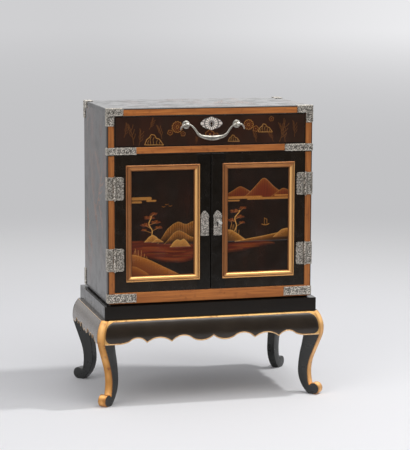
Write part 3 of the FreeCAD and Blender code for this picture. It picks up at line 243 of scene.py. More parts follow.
def gold_lacquer(name, stretch, depth):
    """Slightly metallic orange gold; the noise is stretched along the board by the given scales."""
    finish, tree, shader, place = new_finish(name)
    along = add(tree, "Mapping", {"Vector": place, "Scale": stretch})
    grain = add(tree, "TexNoise", {"Vector": along, "Scale": per_metre(3.5), "Detail": 6.0})
    streaks = add(tree, "MapRange", {"Value": grain, 1: 0.3, 2: 0.7})
    tone = add(tree, "Mix", {0: streaks, 6: "#a05c2c", 7: "#cb7e3c"}, **COLOURS)
    worn = add(tree, "TexNoise", {"Vector": place, "Scale": per_metre(14), "Detail": 8.0, "Roughness": 0.7})
    patch = add(tree, "MapRange", {"Value": worn, 1: 0.56, 2: 0.72, 3: 0.0, 4: 0.7})
    colour = add(tree, "Mix", {0: patch, 6: tone, 7: "#6b3a1d"}, **COLOURS)
    split = add(tree, "SeparateXYZ", {0: place})
    aside = add(tree, "Math", {0: split.outputs["X"]}, operation="ABSOLUTE")
    start_x, start_z = CASE_HALF - EDGE_BAND, CASE_TOP - EDGE_BAND
    side_edge = add(tree, "MapRange", {"Value": aside, 1: start_x, 2: start_x + EDGE_FADE})
    top_edge = add(tree, "MapRange", {"Value": split.outputs["Z"], 1: start_z, 2: start_z + EDGE_FADE})
    outer = add(tree, "Math", {0: side_edge, 1: top_edge}, operation="MAXIMUM")
    # A band at the foot of the middle rail is darkened: a painted shadow of the gap over the doors.
    shadow_over_doors = add(tree, "Math", {0: split.outputs["Z"], 1: DOOR_LINE, 2: EDGE_BAND}, operation="COMPARE")
    edge = add(tree, "Math", {0: outer, 1: shadow_over_doors}, operation="MAXIMUM")
    edged_and_shaded = add(tree, "Mix", {0: edge, 6: colour, 7: "#241c16"}, **COLOURS)
    rough = add(tree, "MapRange", {"Value": grain, 3: 0.32, 4: 0.5})
    # depth scales the value of the whole board, so the uprights, at 0.76, come out darker than the level
    # boards: painted shade.
    darkened = add(tree, "HueSaturation", {"Color": edged_and_shaded, "Value": depth})
    plug(tree, shader, {"Base Color": darkened, "Roughness": rough, "Metallic": 0.2})
    return finish


# The uprights take the lower value: painted shade.
gold_upright = gold_lacquer("worn_gold_lacquer_upright", (1.0, 1.0, 0.06), 0.76)
gold_level = gold_lacquer("worn_gold_lacquer_level", (0.06, 1.0, 1.0), 0.95)
print("dark edges from", (CASE_HALF - EDGE_BAND) / MM, "mm aside and at", DOOR_LINE / MM, "mm up")

# %% [markdown]
# ## Gilding
# The mouldings, the apron edges and the legs' outer edges are leaf gold over red clay. Burnished
# leaf is a metal, so its colour tints the reflection. Rubbed places let the red-brown clay show,
# and those are not metallic: one noise drives colour, metal and roughness together.


# %% Leaf gilding
def gilding(name, leaf, shade, worn_from, stretch=(1.0, 1.0, 1.0)):
    """Leaf of drifting tone, clay where wear passes worn_from, and by point value grime with painted shade
    and a painted highlight.
    """
    finish, tree, shader, place = new_finish(name)
    along = add(tree, "Mapping", {"Vector": place, "Scale": stretch})
    drift = add(tree, "TexNoise", {"Vector": along, "Scale": per_metre(26), "Detail": 3.0})
    tone = add(tree, "Mix", {0: drift, 6: shade, 7: leaf}, **COLOURS)
    wear = add(tree, "TexNoise", {"Vector": place, "Scale": per_metre(11), "Detail": 4.0})
    clay = add(tree, "MapRange", {"Value": wear, 1: worn_from, 2: worn_from + 0.12})
    rubbed_and_lit = add(tree, "Mix", {0: clay, 6: tone, 7: "#8a4d2a"}, **COLOURS)
    # The first point value darkens the leaf with dirt and painted shade; the second, shine, lightens it
    # towards pale gold as a painted highlight.
    dirt = add(tree, "Attribute", attribute_name="dirt").outputs["Fac"]
    colour = add(tree, "Mix", {0: dirt, 6: rubbed_and_lit, 7: "#3a1f10"}, **COLOURS)
    shine = add(tree, "Attribute", attribute_name="shine").outputs["Fac"]
    highlighted = add(tree, "Mix", {0: shine, 6: colour, 7: "#ffc880"}, **COLOURS)
    dull = add(tree, "Math", {0: clay, 1: dirt}, operation="MAXIMUM")
    metal = add(tree, "MapRange", {"Value": dull, 3: 0.75, 4: 0.05})
    rough = add(tree, "MapRange", {"Value": dull, 3: 0.38, 4: 0.6})
    bump = add(tree, "Bump", {"Height": drift, "Strength": 0.25, "Distance": 0.5 * MM})
    plug(tree, shader, {"Base Color": highlighted, "Metallic": metal, "Roughness": rough, "Normal": bump})
    return finish


gilt = gilding("leaf_gilding", "#dd9557", "#9e5a2a", 0.64)
gilt_edge = gilding("leaf_gilding_on_stand", "#edb160", "#9c5722", 0.57, (2.6, 2.6, 0.55))
gilt_apron = gilding("leaf_gilding_on_front_apron", "#efc47c", "#a9763c", 0.62)
# The thin lines and beads take a paler leaf: partly their own tone, and partly a painted highlight.
gilt_line_with_painted_highlight = gilding("pale_leaf_gilding_with_painted_highlight_on_thin_lines", "#eccfa6", "#c3935f", 0.72)
print("nodes in a gilding:", len(gilt.node_tree.nodes))

# %% [markdown]
# ## Engraved pale metal
# The mounts are a silver-grey alloy, engraved all over with small curling tendrils, with dirt left
# in the cuts. A tendril is a spiral round a centre, so scattered cell centres are laid over the
# plates, and round each one a line winds outwards: the angle about the centre plus the distance
# from it, taken through a sine. The cuts are drawn wider than real ones so that they show.

# %% Engraved mounts
CUT_DEPTH = 0.35 * MM


def engraved_metal(name, cut, face, curl_mm, pitch_mm, depth):
    """Pale metal with a dark spiral cut round each scattered centre, and soft tarnish."""
    finish, tree, shader, place = new_finish(name)
    # Fronts lie across X and Z; the part of Y keeps the pattern going on plates that turn a corner.
    along = add(tree, "VectorMath", {0: place, 1: (1.0, 0.6, 0.0)}, operation="DOT_PRODUCT")
    above = add(tree, "VectorMath", {0: place, 1: (0.0, 0.8, 1.0)}, operation="DOT_PRODUCT")
    flat = add(tree, "CombineXYZ", {0: along, 1: above})
    cells = add(tree, "TexVoronoi", {"Vector": flat, "Scale": per_metre(curl_mm), "Randomness": 0.75},
                voronoi_dimensions="2D")
    arm = add(tree, "VectorMath", {0: flat, 1: cells.outputs["Position"]}, operation="SUBTRACT")
    parts = add(tree, "SeparateXYZ", {0: arm})
    angle = add(tree, "Math", {0: parts.outputs["Y"], 1: parts.outputs["X"]}, operation="ARCTAN2")
    reach = add(tree, "VectorMath", {0: arm}, operation="LENGTH")
    turns = 2 * np.pi * per_metre(pitch_mm)
    winding = add(tree, "Math", {0: reach, 1: turns, 2: angle}, operation="MULTIPLY_ADD")
    ridge = add(tree, "Math", {0: winding}, operation="SINE")
    metal = add(tree, "MapRange", {"Value": ridge, 1: -0.95, 2: -0.15}, **SMOOTH)
    colour = add(tree, "Mix", {0: metal, 6: cut, 7: face}, **COLOURS)
    cloud = add(tree, "TexNoise", {"Vector": place, "Scale": per_metre(5), "Detail": 2.0})
    dirt = add(tree, "MapRange", {"Value": cloud, 1: 0.46, 2: 0.64, 3: 0.0, 4: 0.75})
    darkened = add(tree, "Mix", {0: dirt, 6: colour, 7: cut}, **COLOURS)
    rough = add(tree, "MapRange", {"Value": metal, 3: 0.68, 4: 0.48})
    bump = add(tree, "Bump", {"Height": metal, "Strength": depth, "Distance": CUT_DEPTH})
    plug(tree, shader, {"Base Color": darkened, "Roughness": rough, "Normal": bump, "Metallic": 1.0})
    return finish


mount_metal = engraved_metal("engraved_pale_metal", "#423e38", "#f6eee2", 9.0, 3.9, 0.7)
hinge_metal = engraved_metal("engraved_hinge_metal", "#625d55", "#e2dacf", 9.5, 4.4, 0.7)
plate_metal = engraved_metal("bright_engraved_metal", "#77716a", "#ece4da", 7.0, 3.4, 0.4)
print("nodes in an engraving:", len(mount_metal.node_tree.nodes))


# %% Petals round the drawer's keyhole
def rayed_metal(name, cut, face, centre, rays, ring_mm):
    """Petals: rays about a centre, crossed by rings, from the angle and the distance."""
    finish, tree, shader, place = new_finish(name)
    arm = add(tree, "VectorMath", {0: place, 1: centre}, operation="SUBTRACT")
    parts = add(tree, "SeparateXYZ", {0: arm})
    flat = add(tree, "CombineXYZ", {0: parts.outputs["X"], 1: parts.outputs["Z"]})
    reach = add(tree, "VectorMath", {0: flat}, operation="LENGTH")
    angle = add(tree, "Math", {0: parts.outputs["Z"], 1: parts.outputs["X"]}, operation="ARCTAN2")
    fan = add(tree, "Math", {0: angle, 1: float(rays)}, operation="MULTIPLY")
    petals = add(tree, "Math", {0: fan}, operation="COSINE")
    steps = add(tree, "Math", {0: reach, 1: 2 * np.pi * per_metre(ring_mm)}, operation="MULTIPLY")
    rings = add(tree, "Math", {0: steps}, operation="COSINE")
    lines = add(tree, "Math", {0: petals, 1: rings}, operation="MINIMUM")
    metal = add(tree, "MapRange", {"Value": lines, 1: -1.0, 2: -0.3}, **SMOOTH)
    colour = add(tree, "Mix", {0: metal, 6: cut, 7: face}, **COLOURS)
    bump = add(tree, "Bump", {"Height": metal, "Strength": 0.6, "Distance": CUT_DEPTH})
    plug(tree, shader, {"Base Color": colour, "Normal": bump, "Metallic": 1.0, "Roughness": 0.6})
    return finish


KEYHOLE_CENTRE = (0.0, 0.0, 532 * MM)
escutcheon_metal = rayed_metal("petal_engraved_metal", "#88817b", "#fff6ee", KEYHOLE_CENTRE, 16, 9.0)
print("nodes in the petals:", len(escutcheon_metal.node_tree.nodes))

# %% [markdown]
# ## Plain metals and bare wood
# The bail, its posts and the nails are the same alloy, cast and left plain: hands keep it bright,
# and the rest is clouded by tarnish. The locks are dark iron. Inside, the boards are bare softwood,
# with light and dark bands of growth along their length.


# %% Plain metals and inside wood
def tarnished_metal(name, bright, tarnish, patch_mm, polish=0.34):
    """Cast metal: bright where it is handled, with soft tarnished clouds that are duller than polish."""
    finish, tree, shader, place = new_finish(name)
    cloud = add(tree, "TexNoise", {"Vector": place, "Scale": per_metre(patch_mm), "Detail": 6.0})
    share = add(tree, "MapRange", {"Value": cloud, 1: 0.4, 2: 0.68})
    colour = add(tree, "Mix", {0: share, 6: bright, 7: tarnish}, **COLOURS)
    rough = add(tree, "MapRange", {"Value": share, 3: polish, 4: polish + 0.18})
    plug(tree, shader, {"Base Color": colour, "Roughness": rough, "Metallic": 1.0})
    return finish


def plain_wood(name, early, late, stretch):
    """Bare softwood: noise stretched along the board gives the dark and light growth bands."""
    finish, tree, shader, place = new_finish(name)
    along = add(tree, "Mapping", {"Vector": place, "Scale": stretch})
    bands = add(tree, "TexNoise", {"Vector": along, "Scale": per_metre(4), "Detail": 7.0})
    share = add(tree, "MapRange", {"Value": bands, 1: 0.35, 2: 0.65})
    colour = add(tree, "Mix", {0: share, 6: early, 7: late}, **COLOURS)
    bump = add(tree, "Bump", {"Height": bands, "Strength": 0.2, "Distance": 0.2 * MM})
    plug(tree, shader, {"Base Color": colour, "Normal": bump, "Roughness": 0.6})
    return finish


handle_metal = tarnished_metal("cast_pale_metal", "#cbc8be", "#8c887f", 8)
rim_metal = tarnished_metal("worn_pale_metal_on_rims", "#bdb8ae", "#8f8a81", 6)
cover_metal = tarnished_metal("brushed_pale_metal", "#fffdf8", "#e6e2da", 6, 0.5)
lock_iron = tarnished_metal("dark_lock_iron", "#6a655e", "#3b3733", 6)
inside_wood = plain_wood("bare_inside_wood", "#a37a4c", "#7d5732", (0.05, 1.0, 1.0))

print("tarnished metals and wood:", handle_metal.name, rim_metal.name, cover_metal.name, inside_wood.name)

# %% [markdown]
# ## Dressing the solids
# Each solid of the model has a material slot, so a slot's finish goes on all its solids at once.
# A real cabinet ages unevenly, and some solids therefore get a finish of their own; among them the
# side and back aprons take a paler lacquer as a painted sheen, and the stiles a darker gold as
# painted shade. The drawer's board takes plain black, because its brown picture is a skin that is
# added later, and the black margin left round that skin is a painted shadow of the gap round the
# drawer.

# %% Give the solids their finishes
SLOT_FINISHES = {"lacquer_black": black_lacquer, "lacquer_brown": black_lacquer, "gold_facing": gold_level,
                 "gilt": gilt, "interior_wood": inside_wood, "mount_metal": mount_metal,
                 "lock_metal": lock_iron}
NODE_FINISHES = {
    gold_upright: ("front_stile_left", "front_stile_right"),
    handle_metal: ("bail_handle", "handle_posts", "handle_nuts", "hinge_pins"),
    hinge_metal: ("left_hinge_door_leaves", "right_hinge_door_leaves", "hinge_case_leaves"),
    plate_metal: ("left_lock_plate", "right_lock_plate"),
    escutcheon_metal: ("drawer_escutcheon",),
    cover_metal: ("keyhole_cover",),
    # The side and back aprons: the paler lacquer with painted sheen.
    painted_sheen_lacquer: ("apron_left", "apron_right", "apron_back"),
    gilt_apron: ("apron_front",),
    rail_lacquer: ("stand_rail_front",),
    door_lacquer: ("left_door_rails", "right_door_rails", "left_door_hinge_stile",
                   "right_door_hinge_stile"),
}
own_finish = {node: finish for finish, nodes in NODE_FINISHES.items() for node in nodes}
for entry in frame["record"]["subparts"]:
    materials = frame["nodes"][entry["node"]].data.materials
    materials.clear()
    materials.append(own_finish.get(entry["node"], SLOT_FINISHES[entry["material_slot"]]))
print("solids with a finish of their own:", len(own_finish))

# %% [markdown]
# ## Picture lacquer
# The doors, drawer and outer boards carry pictures in sprinkled gold and red-brown on the lacquer.
# Gold dust is strewn on wet lacquer, denser where the form catches light, and the main shapes are
# built up slightly. So each picture is a fine grid whose points hold how much gold and how much
# rust lie there, and the finish mixes the three materials by those numbers.


# %% Finish for the pictures
def picture_lacquer(name, ground_dark, ground_light, dust):
    """Lacquer ground, rust-red lacquer and gold dust, mixed by the point values rust, gold and light."""
    finish, tree, shader, place = new_finish(name)
    cloud = add(tree, "TexNoise", {"Vector": place, "Scale": per_metre(40), "Detail": 4.0})
    ground = add(tree, "Mix", {0: cloud, 6: ground_dark, 7: ground_light}, **COLOURS)
    rust, gold, light = (add(tree, "Attribute", attribute_name=layer).outputs["Fac"]
                         for layer in ("rust", "gold", "light"))
    leaf = add(tree, "Mix", {0: light, 6: "#c87a28", 7: "#f0bd68"}, **COLOURS)
    grit = add(tree, "TexNoise", {"Vector": place, "Scale": per_metre(1.1), "Detail": 3.0})
    strewn = add(tree, "MapRange", {"Value": grit, 1: 0.32, 2: 0.68, 3: dust, 4: 1.0})
    gold_share = add(tree, "Math", {0: gold, 1: strewn}, operation="MULTIPLY")
    red = add(tree, "Mix", {0: rust, 6: ground, 7: "#6e2c1a"}, **COLOURS)
    colour = add(tree, "Mix", {0: gold_share, 6: red, 7: leaf}, **COLOURS)
    metal = add(tree, "Math", {0: gold_share, 1: 0.35}, operation="MULTIPLY")
    rubbed_and_lit = add(tree, "TexNoise", {"Vector": place, "Scale": per_metre(24), "Detail": 3.0})
    dull = add(tree, "MapRange", {"Value": rubbed_and_lit, 1: 0.4, 2: 0.7, 3: 0.13, 4: 0.25})
    rough = add(tree, "Math", {0: gold_share, 1: 0.25, 2: dull}, operation="MULTIPLY_ADD")
    wave = add(tree, "TexNoise", {"Vector": place, "Scale": per_metre(40), "Detail": 1.0})
    bump = add(tree, "Bump", {"Height": wave, "Strength": 0.1, "Distance": 0.3 * MM})
    plug(tree, shader, {"Base Color": colour, "Metallic": metal, "Roughness": rough, "Normal": bump,
                        "IOR": LACQUER_IOR})
    return finish


door_picture = picture_lacquer("door_picture_lacquer", "#181310", "#2b2019", 0.6)
drawer_picture = picture_lacquer("drawer_picture_lacquer", "#20150f", "#37261d", 0.45)
board_picture = picture_lacquer("board_picture_lacquer", "#15110e", "#241d18", 0.2)
print("nodes in a picture's finish:", len(door_picture.node_tree.nodes))

# %% [markdown]
# ## Drawing with distances
# A brush stroke is all the points close to a line, and a hill is all the points under a curve.
# Both are simple sums over the whole grid: the distance from every point to a polyline, or the
# height of every point against a curve given by a few points. All sizes are in millimetres.

# %% Strokes and hills
FAR_AWAY, CURVE_POINTS, CURVE_BLUR = 1e9, 60, 7


def stroke(x, z, points, width, soft=0.5):
    """1 on the polyline and 0 beyond half its width, from each point's distance to the nearest run."""
    nearest = np.full(x.shape, FAR_AWAY)
    for (x0, z0), (x1, z1) in zip(points[:-1], points[1:]):
        length2 = (x1 - x0) ** 2 + (z1 - z0) ** 2
        t = np.clip(((x - x0) * (x1 - x0) + (z - z0) * (z1 - z0)) / length2, 0, 1)
        nearest = np.minimum(nearest, np.hypot(x - x0 - t * (x1 - x0), z - z0 - t * (z1 - z0)))
    return 1 - smoothstep(width / 2, width / 2 + soft, nearest)


def below(x, z, points, soft=1.0):
    """1 under a smooth curve through a few points, 0 above it or beyond its ends; and the curve's height."""
    at, heights = np.array(points, float).T
    dense = np.linspace(at[0], at[-1], CURVE_POINTS)
    padded = np.pad(np.interp(dense, at, heights), CURVE_BLUR // 2, "edge")
    bend = np.convolve(padded, np.ones(CURVE_BLUR) / CURVE_BLUR, "valid")
    top = np.interp(x, dense, bend, left=-1e3, right=-1e3)
    return smoothstep(-soft, soft, top - z), top


def branch(start, heading, length, bow, count=9):
    """Points of a bowed line: its heading, in degrees, turns steadily by bow over the length."""
    angles = np.radians(heading + bow * np.linspace(0, 1, count))
    steps = np.stack([np.cos(angles), np.sin(angles)], 1) * length / count
    return [tuple(start), *map(tuple, np.array(start) + np.cumsum(steps, 0))]


def spray(x, z, root, heading, length, twigs, width):
    """A stem with short leaves to both sides, as brushed grass or bamboo is drawn."""
    stem = branch(root, heading, length, 18)
    ink = stroke(x, z, stem, width)
    for number in range(twigs):
        at = stem[2 + number * (len(stem) - 3) // twigs]
        side = 1 if number % 2 else -1
        leaf = branch(at, heading + side * 42, length * 0.3, -side * 30, 5)
        ink = np.maximum(ink, stroke(x, z, leaf, width * 1.1))
    return ink


print("ink on a line and 2 mm off it:", stroke(np.zeros(2), np.array([0.0, 2.0]), [(-5, 0), (5, 0)], 1.0))


# %% Blossoms and blotches
def blossom(x, z, centre, radius, petals, turn):
    """The outline of a flower: points near a circle whose radius swells once for each petal."""
    dx, dz = x - centre[0], z - centre[1]
    edge = radius * (0.78 + 0.22 * np.abs(np.cos(petals / 2 * (np.arctan2(dz, dx) - turn))))
    away = np.abs(np.hypot(dx, dz) - edge)
    heart = 1 - smoothstep(0.16 * radius, 0.16 * radius + 0.5, np.hypot(dx, dz))
    return np.maximum(1 - smoothstep(0.3, 0.8, away), heart)


def rosette(x, z, centre, radius, petals):
    """A many-petalled flower: rays between its petals, a scalloped rim and a ring round its heart."""
    dx, dz = x - centre[0], z - centre[1]
    away = np.hypot(dx, dz)
    lobes = np.abs(np.cos(petals / 2 * np.arctan2(dz, dx)))
    rim = 1 - smoothstep(0.25, 0.7, np.abs(away - radius * (0.86 + 0.14 * lobes)))
    rays = (1 - smoothstep(0.1, 0.35, lobes)) * smoothstep(0.3 * radius, 0.36 * radius, away)
    rays *= 1 - smoothstep(0.84 * radius, 0.9 * radius, away)
    heart = 1 - smoothstep(0.2, 0.6, np.abs(away - 0.24 * radius))
    return np.maximum(np.maximum(rim, 0.8 * rays), heart)


def blotches(x, z, seed, count):
    """Faded remains of the old pictures: soft upright ovals at drawn random places."""
    draw = np.random.default_rng(seed + 100)
    haze = np.zeros_like(x)
    for _ in range(count):
        at_x, at_z = draw.uniform(x.min(), x.max()), draw.uniform(z.min(), z.max())
        wide, tall = draw.uniform(4, 16), draw.uniform(12, 50)
        haze += draw.uniform(0.2, 0.7) * np.exp(-((x - at_x) / wide) ** 2 - ((z - at_z) / tall) ** 2)
    return np.clip(haze, 0, 1)


print("ink in a blossom's heart:", blossom(np.zeros(1), np.zeros(1), (0, 0), 5.0, 5, 0.0))

# %% [markdown]
# ## Slabs that carry a picture
# A picture needs a body: a closed slab whose front is the fine grid and whose sides and back are
# plain. The same slab serves the door panels, which it replaces, and thin skins on the outer boards.
# While it is drawn, a picture is a stack of layers over its grid, and each brush adds to them.

# %% Picture slabs
WAYS = {"front": ((1, 0, 0), (0, 0, 1), (0, -1, 0)), "right": ((0, 1, 0), (0, 0, 1), (1, 0, 0)),
        "left": ((0, -1, 0), (0, 0, 1), (-1, 0, 0)), "back": ((-1, 0, 0), (0, 0, 1), (0, 1, 0)),
        "top": ((1, 0, 0), (0, 1, 0), (0, 0, 1))}


def picture_slab(name, picture, thickness, origin, face_name, finish, body, slot, stands_for=()):
    """A closed slab: its front is origin + x across + z up + relief out, and its back a thickness behind."""
    across, up, out = np.array(WAYS[face_name], float)
    lift = np.pad(picture.relief[1:-1, 1:-1], 1)[..., None]
    face = np.array(origin) + MM * (picture.x[..., None] * across + picture.z[..., None] * up + lift * out)
    points = face.reshape(-1, 3)
    edge = rim_of(*picture.x.shape)
    back = points[edge] - thickness * MM * out
    behind = np.arange(len(edge)) + len(points)
    wall = np.stack([edge, behind, np.roll(behind, -1), np.roll(edge, -1)], 1)
    piece = make_piece(name, np.vstack([points, back]), [*grid_quads(*picture.x.shape), *wall, behind[::-1]],
                       [finish], body, slot, stands_for=stands_for)
    plain = np.zeros(len(edge))
    for layer in ("gold", "rust", "light"):
        paint(piece, **{layer: np.append(np.clip(getattr(picture, layer), 0, 1).ravel(), plain)})


print("faces of the case that carry something:", sorted(WAYS))


# %% Layers of a picture, and its brushes
class Picture:
    """Layers over one grid: how much gold, rust and brightness each point has, and how far it is built up."""

    def __init__(self, width, height, step):
        """Points about one step apart, in millimetres from the middle."""
        columns, rows = (int(round(size / step)) + 1 for size in (width, height))
        self.x, self.z = np.meshgrid(np.linspace(-width / 2, width / 2, columns),
                                     np.linspace(-height / 2, height / 2, rows))
        self.gold, self.rust, self.light, self.relief = (np.zeros_like(self.x) for _ in range(4))

    def brush(self, ink, gold=0.0, rust=0.0, light=0.0, raised=0.0):
        """Lay one stroke's ink over the layers."""
        self.gold = np.maximum(self.gold, gold * ink)
        self.rust = np.maximum(self.rust, rust * ink)
        self.light = np.maximum(self.light, light * ink)
        self.relief = np.maximum(self.relief, raised * ink)

    def line(self, points, width, soft=0.5, **layers):
        """Brush a polyline."""
        self.brush(stroke(self.x, self.z, points, width, soft), **layers)

    def disc(self, centre, inner, outer, **layers):
        """Brush a round spot that fades from its inner to its outer radius."""
        self.brush(1 - smoothstep(inner, outer, np.hypot(self.x - centre[0], self.z - centre[1])), **layers)

    def age(self, draw, least, spread, seed, count):
        """Strew the gold unevenly, by a drawn share for each point, and add a faint rust haze."""
        self.gold = self.gold * (least + spread * draw.random(self.x.shape))
        self.rust = self.rust + 0.06 * blotches(self.x, self.z, seed, count)


print("a picture's layers:", sorted(vars(Picture(10, 10, 5))))

# %% Hills and water
DEEP_DOWN, HILL_EDGE = -200.0, 0.8


def hill(picture, points, reach, strength, base=DEEP_DOWN, floor=0.12, raised=0.3, folds=0.0, rust=0.0,
         crest=0.6, glow=0.0, mist=0.8):
    """A hill that hides what lies behind it: gold fades below the crest, folds run down its slope."""
    shape, top = below(picture.x, picture.z, points, 0.6)
    shape = shape * smoothstep(base - HILL_EDGE, base + HILL_EDGE, picture.z)
    depth = np.clip(top - picture.z, 0, None)
    fade = floor + (1 - floor) * np.exp(-depth / reach)
    fade = fade * smoothstep(base - HILL_EDGE, base + mist, picture.z)
    lean = 0.05 * depth * np.sign(picture.x - points[len(points) // 2][0])
    creases = 1 - folds * (0.5 + 0.5 * np.sin(1.5 * (picture.x - lean) + 1.3 * np.sin(0.21 * picture.x)))
    picture.gold = picture.gold * (1 - shape) + shape * strength * fade * creases
    picture.rust = picture.rust * (1 - shape) + shape * rust * (1 - 0.5 * (1 - creases))
    line = shape * (1 - smoothstep(0.5, 1.5, depth))
    picture.light = np.maximum(picture.light * (1 - shape) + glow * shape * fade, crest * line)
    picture.gold = np.maximum(picture.gold, crest * line)
    picture.relief = picture.relief * (1 - shape) + shape * raised


def water(picture, top_points, foot_points, strength):
    """Rust-red water between two soft curves, with ripples from sines of its height."""
    x, z = picture.x, picture.z
    pool = below(x, z, top_points, 2.0)[0] * (1 - below(x, z, foot_points, 4.5)[0])
    swell = np.sin(0.34 * z + 0.7 * np.sin(0.06 * x)) * np.sin(0.045 * x + 0.08 * z)
    ripple = 0.74 + 0.16 * np.sin(0.9 * z + 1.2 * np.sin(0.07 * x)) + 0.22 * swell
    picture.rust = np.maximum(picture.rust, strength * pool * ripple)
    picture.gold = np.maximum(picture.gold, 0.12 * pool * np.clip(swell, 0, 1))


sample = Picture(40, 40, 10)
hill(sample, [(-20, 10), (20, 10)], 8.0, 1.0)
print("gold of a hill, from 30 mm below its crest upwards:", sample.gold[:, 2].round(2))


# %% Pines and grasses
def pine(picture, root, lean, height, pads):
    """A crooked trunk, a bough to each pad of needles, and the pads, given as offsets and half sizes."""
    climb = np.linspace(0, 1, 10)
    sway = 0.11 * height * np.sin(8 * climb) * climb ** 0.5
    ahead = np.array([np.cos(np.radians(lean)), np.sin(np.radians(lean))])
    trunk = np.array(root) + height * climb[:, None] * ahead + sway[:, None] * [ahead[1], -ahead[0]]
    picture.line(trunk, 1.3, gold=0.95, light=0.6, raised=0.25)
    for number, (dx, dz, wide, tall) in enumerate(pads):
        middle = np.array(root) + (dx, dz)
        joint = trunk[np.argmin(np.abs(trunk[:, 1] - middle[1] + 0.5 * abs(dx)))]
        picture.line([joint, middle], 0.7, gold=0.5, light=0.2)
        px, pz = (picture.x - middle[0]) / wide, (picture.z - middle[1]) / tall
        bearing = np.arctan2(pz, px)
        edge = 0.9 + 0.14 * np.sin(5 * bearing + number) + 0.1 * np.sin(11 * bearing + 2 * number)
        pad = 1 - smoothstep(-0.25, 0.15, np.hypot(px, np.where(pz < 0, 1.8 * pz, pz)) - edge)
        needles = np.clip(np.sin(14 * np.arctan2(pz + 1.1, px)), 0, 1) * smoothstep(-0.6, 0.6, pz)
        picture.brush(pad, gold=0.1, rust=0.55, raised=0.15)
        picture.brush(pad * needles, gold=0.4)


def grass(picture, roots, heights, lean, strength):
    """Single bowed blades."""
    for number, (root, height) in enumerate(zip(roots, heights)):
        blade = branch(root, lean + 9 * (number % 3 - 1), height, 26 * (number % 2) - 13, 6)
        picture.line(blade, 0.6, gold=strength, light=0.3)


sample = Picture(40, 40, 1)
pine(sample, (0, -18), 90, 30, ((-6, 16, 7, 3), (4, 26, 8, 4)))
print("share of a small picture that a pine covers:", (sample.rust > 0.1).mean().round(3))

# %% [markdown]
# ## The door pictures
# Lake scenery of hills, water and shores is a stock subject of lacquer. These two are drawn anew:
# rounded gold hills and a pine by a rust-red lake on the left, and a far range over mist bands and
# low spits of land on the right. Gold is dense along each hill's crest and fades downwards, as
# dust is strewn, and a brighter line marks the crest itself.


# %% Left door picture
def left_landscape(picture):
    """Hills on the far bank, a rust-red lake, rocks with a pine, an islet and a near shore with grasses."""
    for left, right, level, half in ((-75, -24, 47, 2.6), (-75, -42, 40.5, 1.6), (-30, -14, 42.5, 1.4)):
        picture.line([(left, level), (right, level)], 2 * half, 0.6, gold=0.75, light=0.25, raised=0.15)
    hill(picture, [(-10, -41), (-4, -32), (8, -13), (20, -3), (31, 2), (40, -3), (47, -5), (56, 1), (72, 3)],
         15, 0.8, -40, 0.1, folds=0.5, mist=22.0, raised=0.15)
    hill(picture, [(2, -42), (9, -34), (20, -21), (30, -15), (41, -19), (54, -28), (72, -33)],
         10, 0.9, -41, 0.08, folds=0.35, mist=12.0, raised=0.15)
    water(picture, [(-72, -33), (-35, -34), (-5, -40), (30, -41), (72, -43)],
          [(-72, -62), (-30, -64), (5, -73), (40, -76), (72, -66)], 0.85)
    hill(picture, [(-36, -36), (-27, -26), (-19, -22), (-11, -27), (-5, -36)],
         9, 1.0, -36, 0.3, crest=0.95, glow=0.3)
    hill(picture, [(-22, -37), (-14, -31), (-8, -30), (2, -37)], 7, 0.95, -37, 0.2, crest=0.9, glow=0.2)
    hill(picture, [(14, -47), (21, -37), (28, -32), (35, -35), (41, -31), (48, -38), (54, -47)],
         14, 1.0, -47, 0.3, crest=1.0, glow=0.35)
    pine(picture, (-21, -23), 98, 36, ((-12, 19, 10, 5), (7, 24, 10, 4.5), (-5, 33, 11, 5), (13, 14, 8, 3.5),
                                      (-15, 10, 6, 3), (4, 40, 7, 4)))
    hill(picture, [(-72, -57), (-50, -60), (-25, -70), (0, -83), (26, -96), (40, -104)],
         11, 0.85, floor=0.1, rust=0.6, crest=0.5, folds=0.2)
    hill(picture, [(-72, -80), (-52, -82), (-34, -92), (-20, -104)], 8, 0.6, floor=0.05, rust=0.7, crest=0.4)
    grass(picture, [(-56, -60), (-52, -60), (-47, -61), (-42, -63), (-36, -66), (-30, -69)],
          (9, 13, 10, 12, 8, 6), 90, 0.6)
    for start, end, level in ((-40, -8, -46), (6, 44, -55), (-30, 10, -58), (20, 56, -64)):
        picture.line([(start, level), (end, level - 1)], 0.5, gold=0.22)
    for x, z in ((2, 30), (8, 34), (15, 31)):
        picture.line([(x - 3, z + 1), (x, z), (x + 3, z + 1.4)], 0.5, gold=0.4)


print("left door:", left_landscape.__doc__)


